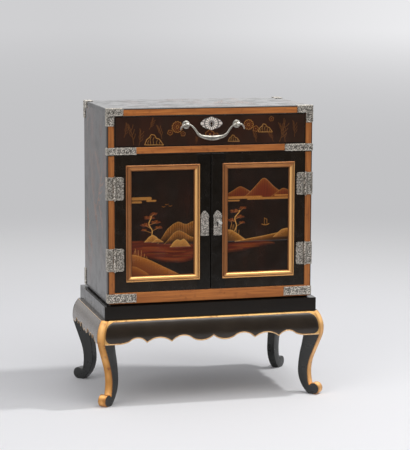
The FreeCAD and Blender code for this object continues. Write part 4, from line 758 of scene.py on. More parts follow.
# %% Right door picture
def right_landscape(picture):
    """A far range of three red peaks over mist bands, reedy spits of land, a boat and a red reflection."""
    far_hill = {"base": 43, "floor": 0.04, "folds": 0.5}
    hill(picture, [(-74, 46), (-52, 56), (-36, 66), (-24, 60), (-8, 50), (4, 44)],
         5, 0.35, rust=0.75, crest=0.5, **far_hill)
    hill(picture, [(-28, 44), (-10, 60), (2, 73), (11, 82), (19, 76), (30, 64), (46, 52), (62, 44)],
         6, 0.4, rust=0.85, crest=0.6, **far_hill)
    hill(picture, [(26, 44), (40, 54), (50, 60), (60, 56), (74, 50)],
         5, 0.35, rust=0.75, crest=0.5, **far_hill)
    mist = ((-75, 6, 43.5, 2.2), (-20, 75, 41, 1.8), (-75, -38, 38, 1.1), (34, 75, 46, 1.2))
    for left, right, level, half in mist:
        picture.line([(left, level), (right, level)], 2 * half, 0.6, gold=0.75, light=0.2, raised=0.2)
    water(picture, [(-74, -44), (-30, -42), (0, -41), (22, -43), (34, -46)],
          [(-74, -60), (-30, -57), (0, -50), (22, -46), (34, -46)], 0.8)
    shore = {"floor": 0.15, "crest": 0.9, "glow": 0.2}
    hill(picture, [(-74, -16), (-52, -18), (-40, -26), (-28, -35), (-22, -39)], 8, 1.0, -40, **shore)
    hill(picture, [(-46, -40), (-20, -36), (8, -32), (36, -27), (60, -23), (74, -22)],
         4, 0.9, -41, 0.02, crest=0.75)
    hill(picture, [(30, -35), (39, -27), (48, -20), (58, -18), (74, -21)], 8, 1.0, -35, **shore)
    grass(picture, [(-55, -18), (-51, -18), (-47, -20), (-43, -23), (-38, -27)], (14, 18, 12, 10, 8), 92, 0.5)
    pine(picture, (-46, -20), 82, 40, ((-6, 20, 9, 4.5), (9, 26, 10, 4.5), (0, 37, 11, 5), (14, 15, 7, 3),
                                      (16, 43, 8, 3.5)))
    picture.line([(8, -9), (12, -10.5), (18, -10.5), (22, -8.6)], 1.0, gold=0.6, light=0.3)
    for sail in ([(13, -9), (13, 3)], [(13.5, 2), (18, 0), (18, -8)]):
        picture.line(sail, 0.6, gold=0.55, light=0.3)
    for start, end, level in ((-50, -22, -49), (-40, 2, -52), (-10, 30, -46), (-56, -30, -56)):
        picture.line([(start, level), (end, level + 0.6)], 0.5, gold=0.2)


print("right door:", right_landscape.__doc__)

# %% Put the pictures on the door panels
PICTURE_STEP = 0.62


def box_mm(node):
    """A solid's lowest and highest corners in millimetres."""
    return [np.array(corner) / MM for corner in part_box(node)]


low, high = box_mm("left_door_panel")
panel_width, panel_thickness, panel_height = high - low
rng = np.random.default_rng(7)
for side, landscape in (("left", left_landscape), ("right", right_landscape)):
    low, high = box_mm(f"{side}_door_panel")
    picture = Picture(panel_width, panel_height, PICTURE_STEP)
    landscape(picture)
    picture.age(rng, 0.85, 0.3, len(side), 14)
    middle = (low + high) / 2 * MM
    middle[1] = low[1] * MM
    picture_slab(f"{side}_door_picture", picture, panel_thickness, middle, "front", door_picture,
                 f"{side}_door", "lacquer_black", (f"{side}_door_panel",))

# %% [markdown]
# ## The drawer front and the outer boards
# The drawer is sprinkled with small outlined motifs: blossoms, fan-shaped stones and grasses. On
# the sides and the top only faint sprays are left. These are skins a fraction of a millimetre
# thick that lie on the boards, because the boards below keep their joints and holes.

# %% Motifs on the drawer front, each with its place, size and strength
SPRAYS = (((-150, -24), 96, 40, 0.3), ((-140, -26), 74, 30, 0.26), ((-120, 4), 60, 22, 0.25),
          ((-168, -10), 70, 26, 0.2), ((-96, -14), 100, 26, 0.28), ((-30, -25), 78, 13, 0.2),
          ((88, -24), 96, 22, 0.25), ((134, -26), 66, 44, 0.32), ((146, -26), 98, 38, 0.26),
          ((122, -24), 110, 24, 0.22), ((164, -16), 84, 30, 0.2))
ROSETTES = (((-66, 7), 10.5, 13, 0.8), ((73, 9), 9.5, 12, 0.75))
BLOSSOMS = (((-3, -8), 8.5, 0.35, 0.75), ((9, -11), 5.5, 1.1, 0.6), ((-80, -3), 5.0, 0.9, 0.5),
            ((87, 1), 5.5, 0.1, 0.55), ((-55, -6), 4.5, 0.3, 0.45), ((118, 19), 4.5, 0.4, 0.35))
ROCKS = (((-111, -17), 18, 0.8), ((44, -17), 11, 0.6), ((106, 1), 14, 0.7))
CRAG = ((-1, -0.45), (-0.78, 0.1), (-0.5, 0.3), (-0.3, 0.62), (0.05, 0.55), (0.25, 0.2), (0.55, 0.12),
        (0.8, -0.2), (1, -0.5), (-1, -0.45))
RIBS = ((-0.62, 0.0), (-0.36, 0.38), (-0.05, 0.3), (0.3, 0.0), (0.62, -0.1))


def drawer_motifs(picture):
    """Rosettes by the handle, blossoms, outlined rocks with ribs, and dim sprays towards the ends."""
    x, z = picture.x, picture.z
    for root, heading, length, strength in SPRAYS:
        picture.brush(spray(x, z, root, heading, length, 6, 0.6), gold=0.5 * strength, rust=0.14, light=0.3)
    for at, radius, petals, strength in ROSETTES:
        picture.disc(at, 0.8 * radius, radius, rust=0.22)
        picture.brush(rosette(x, z, at, radius, petals), gold=1.15 * strength, light=0.3, raised=0.12)
    for at, size, turn, strength in BLOSSOMS:
        picture.disc(at, 0.7 * size, size, rust=0.18)
        picture.brush(blossom(x, z, at, size, 5, turn), gold=strength, light=0.2, raised=0.1)
    for at, size, strength in ROCKS:
        picture.line(np.array(CRAG) * size + at, 0.7, gold=strength, light=0.55, raised=0.12)
        for rib, top in RIBS:
            run = np.array([(rib, -0.42), (rib - 0.05, top - 0.2), (rib + 0.06, top)]) * size + at
            picture.line(run, 0.5, gold=0.6 * strength, light=0.5)


# Round the drawer's picture skin a margin of the black board is left bare, as a painted shadow of the gap
# round the drawer; the outer boards' skins keep the same margin.
SKIN, MARGIN = 0.12, 2.0
low, high = box_mm("drawer_front")
picture = Picture(high[0] - low[0] - 2 * MARGIN, high[2] - low[2] - 2 * MARGIN, PICTURE_STEP)
drawer_motifs(picture)
picture.age(rng, 0.8, 0.4, 21, 40)
face_middle = np.array([0.0, low[1] - SKIN, (low[2] + high[2]) / 2]) * MM
picture_slab("drawer_front_picture", picture, 2 * SKIN, face_middle, "front", drawer_picture, "drawer",
             "lacquer_brown")


# %% Sides and top
def faint_sprays(x, z, seed, count, strength):
    """A few bamboo-like sprays at drawn random places, each with its own lean and size."""
    draw = np.random.default_rng(seed)
    ink = np.zeros_like(x)
    for _ in range(count):
        root = (draw.uniform(x.min(), x.max()) * 0.75, draw.uniform(z.min(), z.max()) * 0.75)
        depth, heading, length = draw.uniform(0.4, 1), draw.uniform(40, 140), draw.uniform(45, 110)
        ink = np.maximum(ink, depth * spray(x, z, root, heading, length, 6, 1.6))
    return strength * ink


BOARD_STEP = 1.8
side_low, side_high = box_mm("case_side_left")
top_low, top_high = box_mm("case_top")
_, side_depth, side_height = side_high - side_low - 2 * MARGIN
_, middle_y, middle_z = (side_low + side_high) / 2
right_x = box_mm("case_side_right")[1][0]
SKINS = (
    ("left_side_picture", "left", side_depth, side_height, (side_low[0] - SKIN, middle_y, middle_z), 3),
    ("right_side_picture", "right", side_depth, side_height, (right_x + SKIN, middle_y, middle_z), 11),
    ("top_picture", "top", top_high[0] - top_low[0] - 2 * MARGIN, side_depth,
     (0.0, middle_y, top_high[2] + SKIN), 5),
)
for name, face_name, width, height, origin, seed in SKINS:
    picture = Picture(width, height, BOARD_STEP)
    ink = faint_sprays(picture.x, picture.z, seed, 9, 0.5)
    blots = blotches(picture.x, picture.z, seed, 26)
    picture.gold = np.maximum(ink, 0.06 * blots) * (0.6 + 0.6 * rng.random(ink.shape))
    picture.rust, picture.light = np.maximum(ink, 0.3 * blots), 0.3 * ink
    picture_slab(name, picture, 2 * SKIN, np.array(origin) * MM, face_name, board_picture, "cabinet",
                 "lacquer_black")

# %% [markdown]
# ## The aprons
# The front apron is a gilt board with a bulging face and a scalloped lower edge. On it lies a black
# lacquer field with rounded ends, slightly raised like a cushion, and a gilt bead runs along the
# scallops. The side aprons are black, with thin gilt lines above and below, and the back is plain.
# All of it follows the bulge, so the first thing needed is how far the face stands out at each
# height, and how high the scalloped edge is at each place along the board.

# %% Apron sizes and curves, in millimetres
LEG_HEIGHT, LEG_THICKNESS = 165.0, 16.5
APRON_HEIGHT, APRON_TOP_OUT, APRON_FOOT_OUT, BELLY_RADIUS = 44.5, 5.3, 14.4, 65.0
SCALLOP_RISE, SCALLOP_NOTCH, SCALLOP_CUSP, SCALLOP_TURN = 8.6, 9.5, 1.0, 4.5
SCALLOP_WIDTHS = {"front": (40, 42, 48, 34, 21), "side": (22, 24, 27, 19, 12)}
frame_low, frame_high = box_mm("stand_rail_front")
FRAME_HALF_WIDTH, FRAME_HALF_DEPTH = float(frame_high[0]), float(-frame_low[1])
# A leg stands on the diagonal, and takes this much off each apron's end.
LEG_SHARE = LEG_THICKNESS * np.sqrt(0.5)


def belly(height):
    """How far the apron stands out of the frame: a circle through its top and foot, bulging outwards."""
    drop = np.array([APRON_FOOT_OUT - APRON_TOP_OUT, -APRON_HEIGHT])
    chord = np.hypot(*drop)
    outwards = np.array([APRON_HEIGHT, APRON_FOOT_OUT - APRON_TOP_OUT]) / chord
    middle = np.array([(APRON_TOP_OUT + APRON_FOOT_OUT) / 2, APRON_HEIGHT / 2])
    centre = middle - outwards * np.sqrt(BELLY_RADIUS ** 2 - chord ** 2 / 4)
    out = centre[0] + np.sqrt(BELLY_RADIUS ** 2 - (height - centre[1]) ** 2)
    normal = np.stack([out - centre[0], height - centre[1]], -1) / BELLY_RADIUS
    return out, normal


print("an apron stands out, at its foot and top:", belly(np.array([0.0, APRON_HEIGHT]))[0], "mm")


# %% The scalloped edge
def arc_height(x, begin, end, rise):
    """Height of an arc between two points: positive rise arches up over its chord, negative hangs below."""
    begin, end = np.array(begin, float), np.array(end, float)
    chord = np.hypot(*(end - begin))
    radius = (chord ** 2 / 4 + rise ** 2) / (2 * abs(rise))
    normal = np.array([begin[1] - end[1], end[0] - begin[0]]) / chord
    centre = (begin + end) / 2 + normal * (rise - np.sign(rise) * radius)
    return centre[1] + np.sign(rise) * np.sqrt(np.clip(radius ** 2 - (x - centre[0]) ** 2, 0, None))


def scallop(x, widths):
    """The edge above the apron's foot: a hanging lobe, three arches, and a curve down to the plain end."""
    stops = np.cumsum([0, *widths])
    heights = [SCALLOP_NOTCH, SCALLOP_TURN, SCALLOP_CUSP, SCALLOP_CUSP, SCALLOP_TURN, 0.0]
    ease = widths[-1]
    ease_chord = np.hypot(ease, SCALLOP_TURN)
    ease_radius = (ease ** 2 + SCALLOP_TURN ** 2) / (2 * SCALLOP_TURN)
    ease_rise = ease_radius - np.sqrt(ease_radius ** 2 - ease_chord ** 2 / 4)
    lobe_drop = SCALLOP_TURN + 2 * SCALLOP_CUSP
    rises = [-lobe_drop, SCALLOP_RISE, SCALLOP_RISE, SCALLOP_RISE - SCALLOP_CUSP, -ease_rise]
    away = np.abs(x)
    edge = np.zeros_like(away)
    ends = list(zip(stops, heights))
    for rise, begin, end in zip(rises, ends[:-1], ends[1:]):
        width, drop = end[0] - begin[0], end[1] - begin[1]
        fitted = rise * (np.hypot(width, drop) / width) ** 2
        inside = (away >= begin[0]) & (away < end[0])
        edge = np.where(inside, arc_height(away, begin, end, fitted), edge)
    return edge


print("the edge's height at the middle:", scallop(np.zeros(1), SCALLOP_WIDTHS["front"]), "mm")


# %% Places on an apron
def apron_place(x, height, lift, reach, quarter_turns):
    """A point on an apron: along the board, above its foot, lifted off its face, then turned to its side."""
    out, normal = belly(height)
    forward = -(reach + out + lift * normal[..., 0])
    above = LEG_HEIGHT - APRON_HEIGHT + height + lift * normal[..., 1]
    angle = np.pi / 2 * quarter_turns
    return MM * np.stack([x * np.cos(angle) - forward * np.sin(angle),
                          x * np.sin(angle) + forward * np.cos(angle), above], -1)


print("foot of the front apron's middle, in metres:", apron_place(0.0, 0.0, 0.0, FRAME_HALF_DEPTH, 0))

# %% Black fields on the aprons
FIELD_LIFT, FIELD_SINK, FIELD_BACK = 0.5, 0.3, 0.9
# Gaps left gilt round the field, and its corner rounding: above, below, at the ends, corner.
FRONT_GAPS = (1.7, 1.7, 0.9, 13.0)
PLAIN_GAPS = (1.3, 0.9, 0.5, 2.5)


def apron_field(half_length, widths, gaps, columns=300, rows=34):
    """The cushion-like field: a grid between the scallops and the top line, pulled in at rounded ends."""
    top_gap, foot_gap, end_gap, rounding = gaps
    t, u = np.meshgrid(np.linspace(0, 1, rows), np.linspace(-1, 1, columns), indexing="ij")
    t = 0.5 - 0.5 * np.cos(np.pi * t)
    u = np.sin(np.pi / 2 * u)
    tall = APRON_HEIGHT - top_gap - foot_gap
    from_end = np.clip(np.minimum(t, 1 - t) * tall / rounding, 0, 1)
    pull = rounding * (1 - np.sqrt(1 - (1 - from_end) ** 2))
    end_x = half_length - LEG_SHARE + belly(foot_gap + t * tall)[0] - end_gap - pull
    x = u * end_x
    foot = scallop(x, widths) + foot_gap
    height = foot + t * (APRON_HEIGHT - top_gap - foot)
    edge = np.minimum(np.minimum(t, 1 - t) * tall, (1 - np.abs(u)) * end_x)
    lift = FIELD_LIFT * smoothstep(0, 4.0, edge) - FIELD_SINK * (1 - smoothstep(0, 0.6, edge))
    return x, height, lift, 1 - smoothstep(0.4, 2.2, edge)


field_grid = apron_field(FRAME_HALF_WIDTH, SCALLOP_WIDTHS["front"], FRONT_GAPS)[0]
print("grid of an apron's field:", field_grid.shape)

# %% Fields with gilt beads and lines
BEAD_RADIUS, LINE_RADIUS, BEAD_SINK, BEAD_POINTS = 0.95, 0.55, 0.35, 420


def tube_along(path, radius, around=10):
    """A round bar: at each path point a circle across the path's direction."""
    ahead = unit(np.gradient(path, axis=0))
    side = unit(np.cross(ahead, [0, 0, 1.0]))
    over = np.cross(ahead, side)
    angle = np.linspace(0, 2 * np.pi, around, endpoint=False)[None, :, None]
    ring = np.cos(angle) * side[:, None] + np.sin(angle) * over[:, None]
    ends = [np.arange(around)[::-1], np.arange(around) + (len(path) - 1) * around]
    faces = [*grid_quads(len(path), around, round_columns=True), *ends]
    return (path[:, None] + radius * ring).reshape(-1, 3), faces


for quarter_turns, place_name in enumerate(("front", "right", "back", "left")):
    level = place_name in ("front", "back")
    half_length, reach = FRAME_HALF_DEPTH, FRAME_HALF_WIDTH
    if level:
        half_length, reach = reach, half_length
    widths = SCALLOP_WIDTHS["front" if level else "side"]
    # The side and back fields take the paler lacquer with painted sheen.
    gaps, radius, finish = PLAIN_GAPS, LINE_RADIUS, painted_sheen_lacquer
    if place_name == "front":
        gaps, radius, finish = FRONT_GAPS, BEAD_RADIUS, stand_lacquer
    x, height, lift, worn_edge = apron_field(half_length, widths, gaps)
    front, back = (apron_place(x, height, rise, reach, quarter_turns)
                   for rise in (lift, 0 * lift - FIELD_BACK))
    field = make_piece(f"apron_field_{place_name}", *closed_sheet(front, back), [finish], "cabinet",
                       "lacquer_black")
    if place_name == "front":
        paint(field, edge=np.stack([worn_edge, 0 * worn_edge]))
    foot_end, top_end = (half_length - LEG_SHARE + out for out in (APRON_FOOT_OUT, APRON_TOP_OUT))
    bead_x = np.linspace(-foot_end, foot_end, BEAD_POINTS)
    lines = {"bead": (bead_x, scallop(bead_x, widths) + 0.9 * radius),
             "line": (bead_x * (top_end / foot_end), 0 * bead_x + APRON_HEIGHT - 1.2 * radius)}
    for line_name in {"front": ("bead",), "back": ()}.get(place_name, lines):
        # Beads and lines in the paler leaf, which carries a painted highlight.
        path = apron_place(*lines[line_name], 0 * bead_x - BEAD_SINK, reach, quarter_turns)
        make_piece(f"apron_{line_name}_{place_name}", *tube_along(path, radius * MM), [gilt_line_with_painted_highlight], "cabinet",
                   "gilt")

# %% [markdown]
# ## The legs
# A leg is sawn from a thick board to an S-shaped outline that ends in a scroll, set on the
# diagonal of its corner. A front leg's outer edge and scroll are gilt, and everything else is black.
# The outline is walked point by point along arcs and lines. A rounded arris is carried round it,
# and the faces between two stations on the outline's outer run take the gilding.

# %% Leg outline
KNEE_OUT, KNEE_DROP, KNEE_RADIUS = 10.5, 52.0, 47.0
CALF_IN, CALF_HEIGHT, CALF_RADIUS = 5.1, 76.2, 85.0
SCROLL_RADIUS, SCROLL_OUT, SCROLL_NOTCH_IN = 11.5, 1.5, 8.0
HEEL_IN, HEEL_REACH, HEEL_HEIGHT, HEEL_RADIUS = 10.0, 33.5, 49.0, 59.5
SHIN_IN, SHIN_HEIGHT, SHIN_RADIUS = 26.0, 97.0, 220.0
WAIST_IN, HEAD_IN, HEAD_DROP = 21.5, 32.0, 36.0
ARRIS = 1.1


def arc_run(begin, end, radius, turn, count, long=False):
    """Points on the arc between two places, without the last; turn is 1 to the left and -1 to the right."""
    begin, end = np.array(begin, float), np.array(end, float)
    chord = end - begin
    length = np.hypot(*chord)
    towards_left = np.array([-chord[1], chord[0]]) / length
    rise = np.sqrt(max(radius ** 2 - length ** 2 / 4, 0))
    centre = (begin + end) / 2 + towards_left * rise * turn * (-1 if long else 1)
    first, last = (np.arctan2(*(point - centre)[::-1]) for point in (begin, end))
    sweep = (last - first) * turn % (2 * np.pi) * turn
    angle = first + sweep * np.linspace(0, 1, count, endpoint=False)
    return centre + radius * np.stack([np.cos(angle), np.sin(angle)], 1)


def straight_run(begin, end, count):
    """Points on the line between two places, without the last."""
    t = np.linspace(0, 1, count, endpoint=False)[:, None]
    return np.array(begin) * (1 - t) + np.array(end) * t


notch_height = SCROLL_RADIUS + np.sqrt(SCROLL_RADIUS ** 2 - (SCROLL_NOTCH_IN + SCROLL_OUT) ** 2)
top_outer, knee = (0.0, LEG_HEIGHT), (KNEE_OUT, LEG_HEIGHT - KNEE_DROP)
calf, notch, toe = (-CALF_IN, CALF_HEIGHT), (-SCROLL_NOTCH_IN, notch_height), (SCROLL_OUT, 0.0)
heel, heel_top = (-HEEL_IN, 0.0), (-HEEL_REACH, HEEL_HEIGHT)
shin, waist = (-SHIN_IN, SHIN_HEIGHT), (-WAIST_IN, LEG_HEIGHT - APRON_HEIGHT)
head, top_inner = (-HEAD_IN, LEG_HEIGHT - HEAD_DROP), (-HEAD_IN, LEG_HEIGHT)
outer_run = np.vstack([
    arc_run(top_outer, knee, KNEE_RADIUS, -1, 24),
    straight_run(knee, calf, 14),
    arc_run(calf, notch, CALF_RADIUS, 1, 26),
    arc_run(notch, toe, SCROLL_RADIUS, -1, 40, long=True),
])
inner_run = np.vstack([
    straight_run(toe, heel, 4),
    arc_run(heel, heel_top, HEEL_RADIUS, -1, 24),
    arc_run(heel_top, shin, SHIN_RADIUS, -1, 20),
    straight_run(shin, waist, 6),
    straight_run(waist, head, 3),
    straight_run(head, top_inner, 6),
    straight_run(top_inner, top_outer, 6),
])
leg_outline = np.vstack([outer_run, inner_run])
print("leg outline:", len(leg_outline), "points, notch at", notch_height, "mm")


# %% A board with rounded arrises
def left_of(path):
    """The way to the left of a closed path at each of its points."""
    ahead = unit(np.roll(path, -1, 0) - np.roll(path, 1, 0))
    return np.stack([-ahead[:, 1], ahead[:, 0]], 1)


def board_with_arris(outline, thickness, arris, steps=5, across=8):
    """A board cut to an outline: round it goes a profile of two quarter circles joined by the flat edge."""
    turn = np.linspace(np.pi / 2, 0, steps)
    curve = arris * (1 - np.cos(turn))
    offset = thickness / 2 - arris + arris * np.sin(turn)
    inset = np.concatenate([curve, np.zeros(across), curve[::-1]])
    offset = np.concatenate([-offset, np.linspace(-offset[-1], offset[-1], across + 2)[1:-1], offset[::-1]])
    flat = outline[:, None] - left_of(outline)[:, None] * inset[None, :, None]
    return np.concatenate([flat, np.broadcast_to(offset[None, :, None], flat.shape[:2] + (1,))], 2)


leg_grid = board_with_arris(leg_outline, LEG_THICKNESS, ARRIS)
stations, profile_count = leg_grid.shape[:2]
print("leg grid:", leg_grid.shape)

# %% Painted shade, dirt and painted highlights on the gilt edge
# Going down the outline, each stretch has its station, its spread and its strength.
# The glints are painted highlights, and the brown stretches between them are painted shade.
GLINTS = ((8, 7, 0.9), (33, 4, 0.4), (63, 3, 0.9), (77, 6, 0.7), (93, 4, 0.5))
SHADED_STRETCHES = ((22, 4, 0.4), (48, 9, 0.25), (86, 3, 0.3))


def stretches(marks):
    """A bell-shaped swell round each marked station of the leg's outline, the largest one counting."""
    at, spread, strength = np.array(marks, float).T
    return (strength * np.exp(-((np.arange(stations)[:, None] - at) / spread) ** 2)).max(1)[:, None]


# Painted shade with some dirt darkens both arrises, and a painted highlight runs down the middle of the edge
# in uneven lengths.
from_middle = np.abs(leg_grid[..., 2])
along = np.arange(stations)
uneven = 0.5 + 0.5 * np.sin(0.31 * along + 1.7 * np.sin(0.13 * along))[:, None]
glint, brown = stretches(GLINTS), stretches(SHADED_STRETCHES)
half = LEG_THICKNESS / 2
leg_dirt = 0.55 * smoothstep(half - 2.2, half - 0.2, from_middle) * (1 - glint)
leg_dirt = np.maximum(leg_dirt, brown * (1 - 0.5 * uneven))
leg_highlight = 0.25 * uneven * np.exp(-(from_middle / 3.2) ** 2) + glint * np.exp(-(from_middle / 6.0) ** 2)
leg_highlight = np.clip(leg_highlight, 0, 1)
# The right legs get a stronger painted highlight, as the light comes from the right.
SIDE_HIGHLIGHT = {-1: leg_highlight, 1: np.clip(0.2 + 1.1 * leg_highlight, 0, 1)}
print("most dirt and shine on a leg:", leg_dirt.max(), leg_highlight.max())

# %% Make the four legs
index = np.arange(stations * profile_count).reshape(stations, profile_count)
leg_faces = [*grid_quads(stations, profile_count, round_rows=True)[:, ::-1], index[::-1, 0], index[:, -1]]
gilded = np.repeat(along < len(outer_run), profile_count - 1)
for depth_name, side_y in (("front", -1), ("back", 1)):
    for side_name, side_x in (("left", -1), ("right", 1)):
        out_way = np.array([side_x, side_y]) * np.sqrt(0.5)
        across_way = np.array([-out_way[1], out_way[0]])
        corner = np.array([side_x * FRAME_HALF_WIDTH, side_y * FRAME_HALF_DEPTH])
        plan = corner + leg_grid[..., :1] * out_way + leg_grid[..., 2:] * across_way
        points = MM * np.concatenate([plan, leg_grid[..., 1:2]], 2).reshape(-1, 3)
        leg = make_piece(f"carved_leg_{depth_name}_{side_name}", points, leg_faces, [leg_lacquer, gilt_edge],
                         "cabinet", "lacquer_black", stands_for=(f"leg_{depth_name}_{side_name}",))
        numbers = np.append(gilded * (depth_name == "front"), [0, 0])
        leg.data.polygons.foreach_set("material_index", numbers.astype(np.int32))
        paint(leg, dirt=leg_dirt, shine=SIDE_HIGHLIGHT[side_x])

# %% [markdown]
# ## The door mouldings
# Each panel is framed by a gilt moulding: a thin outer bead, a sunk line, and a larger quarter round
# that falls to the panel. Old gilding keeps dirt in its hollows, and painted shade darkens them
# further; that dark line is what makes the moulding read from afar. So the section is swept again
# along the four mitred sides, and each point knows from its place in the section how much dirt and
# painted shade it holds, and how much painted highlight lies on it.

# %% Section of the moulding
BEAD_WIDTH, BEAD_EDGE, BEAD_CURVE = 3.2, 1.2, 1.8
QUIRK, ROUND_TOP, ROUND_CURVE = 0.5, 2.4, 4.6
MOULDING_WIDTH, SEAT, TOE, TOE_SINK, PANEL_SINK = 11.5, 6.0, 1.0, 1.5, 3.0
# Across the section, from its outer edge: where dirt with painted shade lies and where the painted highlight
# lies, with spreads.
HOLLOWS, HOLLOW_SPREADS = (0.0, BEAD_WIDTH + QUIRK / 2, MOULDING_WIDTH), (0.5, 0.75, 1.4)
CRESTS, CREST_SPREADS = (0.45 * BEAD_WIDTH, BEAD_WIDTH + QUIRK + 3.6), (0.8, 2.6)
# Painted light by side, in the order lower, right, upper, left: the lower and right strips carry the full
# painted highlight, and painted shade darkens the upper strip and most of all the left one.
LIT_STRIPS, SHADED_STRIPS = (1.0, 1.0, 0.15, 0.0), (0.0, 0.0, 0.2, 0.46)


def oblong(left, right, low, high):
    """An oblong's corners, once round to the left."""
    return [(left, low), (right, low), (right, high), (left, high)]


def moulding_section():
    """Round the strip from its outer edge: how far in and out of the door's face, the grime with painted
    shade, the painted highlight.
    """
    round_start, round_end = BEAD_WIDTH + QUIRK, MOULDING_WIDTH - TOE
    bead = arc_run((0, BEAD_EDGE), (BEAD_WIDTH, BEAD_EDGE), BEAD_CURVE, -1, 10)
    quarter = arc_run((round_start, ROUND_TOP), (round_end, -TOE_SINK), ROUND_CURVE, -1, 16)
    back = [(round_end, -TOE_SINK), (MOULDING_WIDTH, -TOE_SINK), (MOULDING_WIDTH, -PANEL_SINK),
            (SEAT, -PANEL_SINK), (SEAT, 0)]
    across = np.vstack([[(0, 0)], bead, [(BEAD_WIDTH, BEAD_EDGE), (round_start, BEAD_EDGE)], quarter, back])
    dirt, shine = (np.exp(-((across[:, :1] - np.array(marks)) / np.array(spreads)) ** 2).max(1)
                   for marks, spreads in ((HOLLOWS, HOLLOW_SPREADS), (CRESTS, CREST_SPREADS)))
    return across, 0.9 * dirt, shine


print("points round the section:", len(moulding_section()[0]))


# %% Mouldings round the door panels
def moulding_frame(low, high, face_y, stations=60):
    """The section carried round four sides; points further in start and end later, which makes mitres."""
    section, dirt, shine = moulding_section()
    corners = np.array(oblong(low[0], high[0], low[1], high[1]), float)
    inset, rise = section[:, :1], section[:, 1:]
    t = np.linspace(0, 1, stations, endpoint=False)[None]
    rubbed_and_lit, strip_shade = np.repeat(LIT_STRIPS, stations), np.repeat(SHADED_STRIPS, stations)
    sides = []
    for begin, end in zip(corners, np.roll(corners, -1, 0)):
        length = np.hypot(*(end - begin))
        ahead = (end - begin) / length
        inward = np.array([-ahead[1], ahead[0]])
        along = inset + t * (length - 2 * inset)
        sides.append(begin + along[..., None] * ahead + (inset + 0 * t)[..., None] * inward)
    plan = np.concatenate(sides, 1)
    out = np.broadcast_to(face_y - rise, plan.shape[:2])
    # The upper and left strips take painted shade on top of the dirt, and the painted highlight of the lower
    # and right strips stays off the dark places.
    dirt = np.maximum(dirt[:, None], strip_shade)
    return MM * np.stack([plan[..., 0], out, plan[..., 1]], -1), dirt, shine[:, None] * rubbed_and_lit * (1 - dirt)


door_face = box_mm("left_door_rails")[0][1]
for side in ("left", "right"):
    low, high = (corner[[0, 2]] for corner in box_mm(f"{side}_door_moulding"))
    points, dirt, shine = moulding_frame(low, high, door_face)
    faces = grid_quads(*dirt.shape, round_columns=True, round_rows=True)
    moulding = make_piece(f"{side}_door_gilt_moulding", points.reshape(-1, 3), faces, [gilt], f"{side}_door",
                          "gilt", crease=35, stands_for=(f"{side}_door_moulding",))
    paint(moulding, dirt=dirt, shine=shine)

# %% [markdown]
# ## Nails and raised rims
# The mounts and hinge leaves are held by small domed nails, and a raised line runs round inside each
# plate's edge. A nail head is a spherical cap of a few rings. A rim is a thin round wire, half sunk
# in the plate, that follows a closed outline with slightly rounded corners.

# %% Nail heads
NAIL_RADIUS, NAIL_RISE, NAIL_SINK, NAIL_DOME = 1.3, 0.55, 0.05, 0.85


def nail_head(centre, out, rings=4, around=10):
    """A cap: rings of shrinking radius whose height follows a circle, closed by its last ring's face."""
    side = unit(np.cross(out, [0.3, 0.5, 0.8]))
    over = np.cross(out, side)
    tilt = np.linspace(0, NAIL_DOME, rings) * np.pi / 2
    angle = np.linspace(0, 2 * np.pi, around, endpoint=False)
    ring = np.cos(angle)[:, None] * side + np.sin(angle)[:, None] * over
    spread = NAIL_RADIUS * np.cos(tilt)[:, None, None] * ring[None]
    rise = (NAIL_RISE * np.sin(tilt) - NAIL_SINK)[:, None, None] * out
    return MM * (np.array(centre) + spread + rise).reshape(-1, 3), rings, around


def nail_heads(name, places, body):
    """One mesh of many heads, each with its centre and the case's face that it stands on."""
    points, faces = [], []
    for centre, face_name in places:
        cap, rings, around = nail_head(centre, np.array(WAYS[face_name][2], float))
        start = sum(map(len, points))
        points.append(cap)
        faces.extend(grid_quads(rings, around, start, round_columns=True))
        faces.append(np.arange(around) + start + (rings - 1) * around)
        faces.append(np.arange(around)[::-1] + start)
    make_piece(name, np.vstack(points), faces, [handle_metal], body, "mount_metal")


print("points in a nail head:", len(nail_head((0, 0, 0), np.array([0.0, -1.0, 0.0]))[0]))

# %% Nails in the mounts
CASE_HALF_WIDTH, SIDE_NAIL_Y = 200.0, -106.5
STRAP_NAILS_IN, CORNER_NAIL_UP, CORNER_NAIL_DOWN = (6, 48), 5, 7
mount_low, mount_high = box_mm("top_corner_mounts")
strap_low, strap_high = box_mm("rail_straps")
foot_low, foot_high = box_mm("foot_straps")
corner_levels = mount_low[2] + CORNER_NAIL_UP, mount_high[2] - CORNER_NAIL_DOWN
mount_places = []
for side, face_name in ((-1, "left"), (1, "right")):
    for inset, heights in ((6.5, corner_levels), (27, corner_levels[1:])):
        mount_places += [((side * (CASE_HALF_WIDTH - inset), mount_low[1], height), "front")
                         for height in heights]
    for inset in STRAP_NAILS_IN:
        for low, high in ((strap_low, strap_high), (foot_low, foot_high)):
            middle = (side * (CASE_HALF_WIDTH - inset), low[1], (low[2] + high[2]) / 2)
            mount_places.append((middle, "front"))
    for low, high in ((mount_low, mount_high), (strap_low, strap_high), (foot_low, foot_high)):
        mount_places.append(((side * high[0], SIDE_NAIL_Y, (low[2] + high[2]) / 2), face_name))
nail_heads("mount_nails", mount_places, "cabinet")

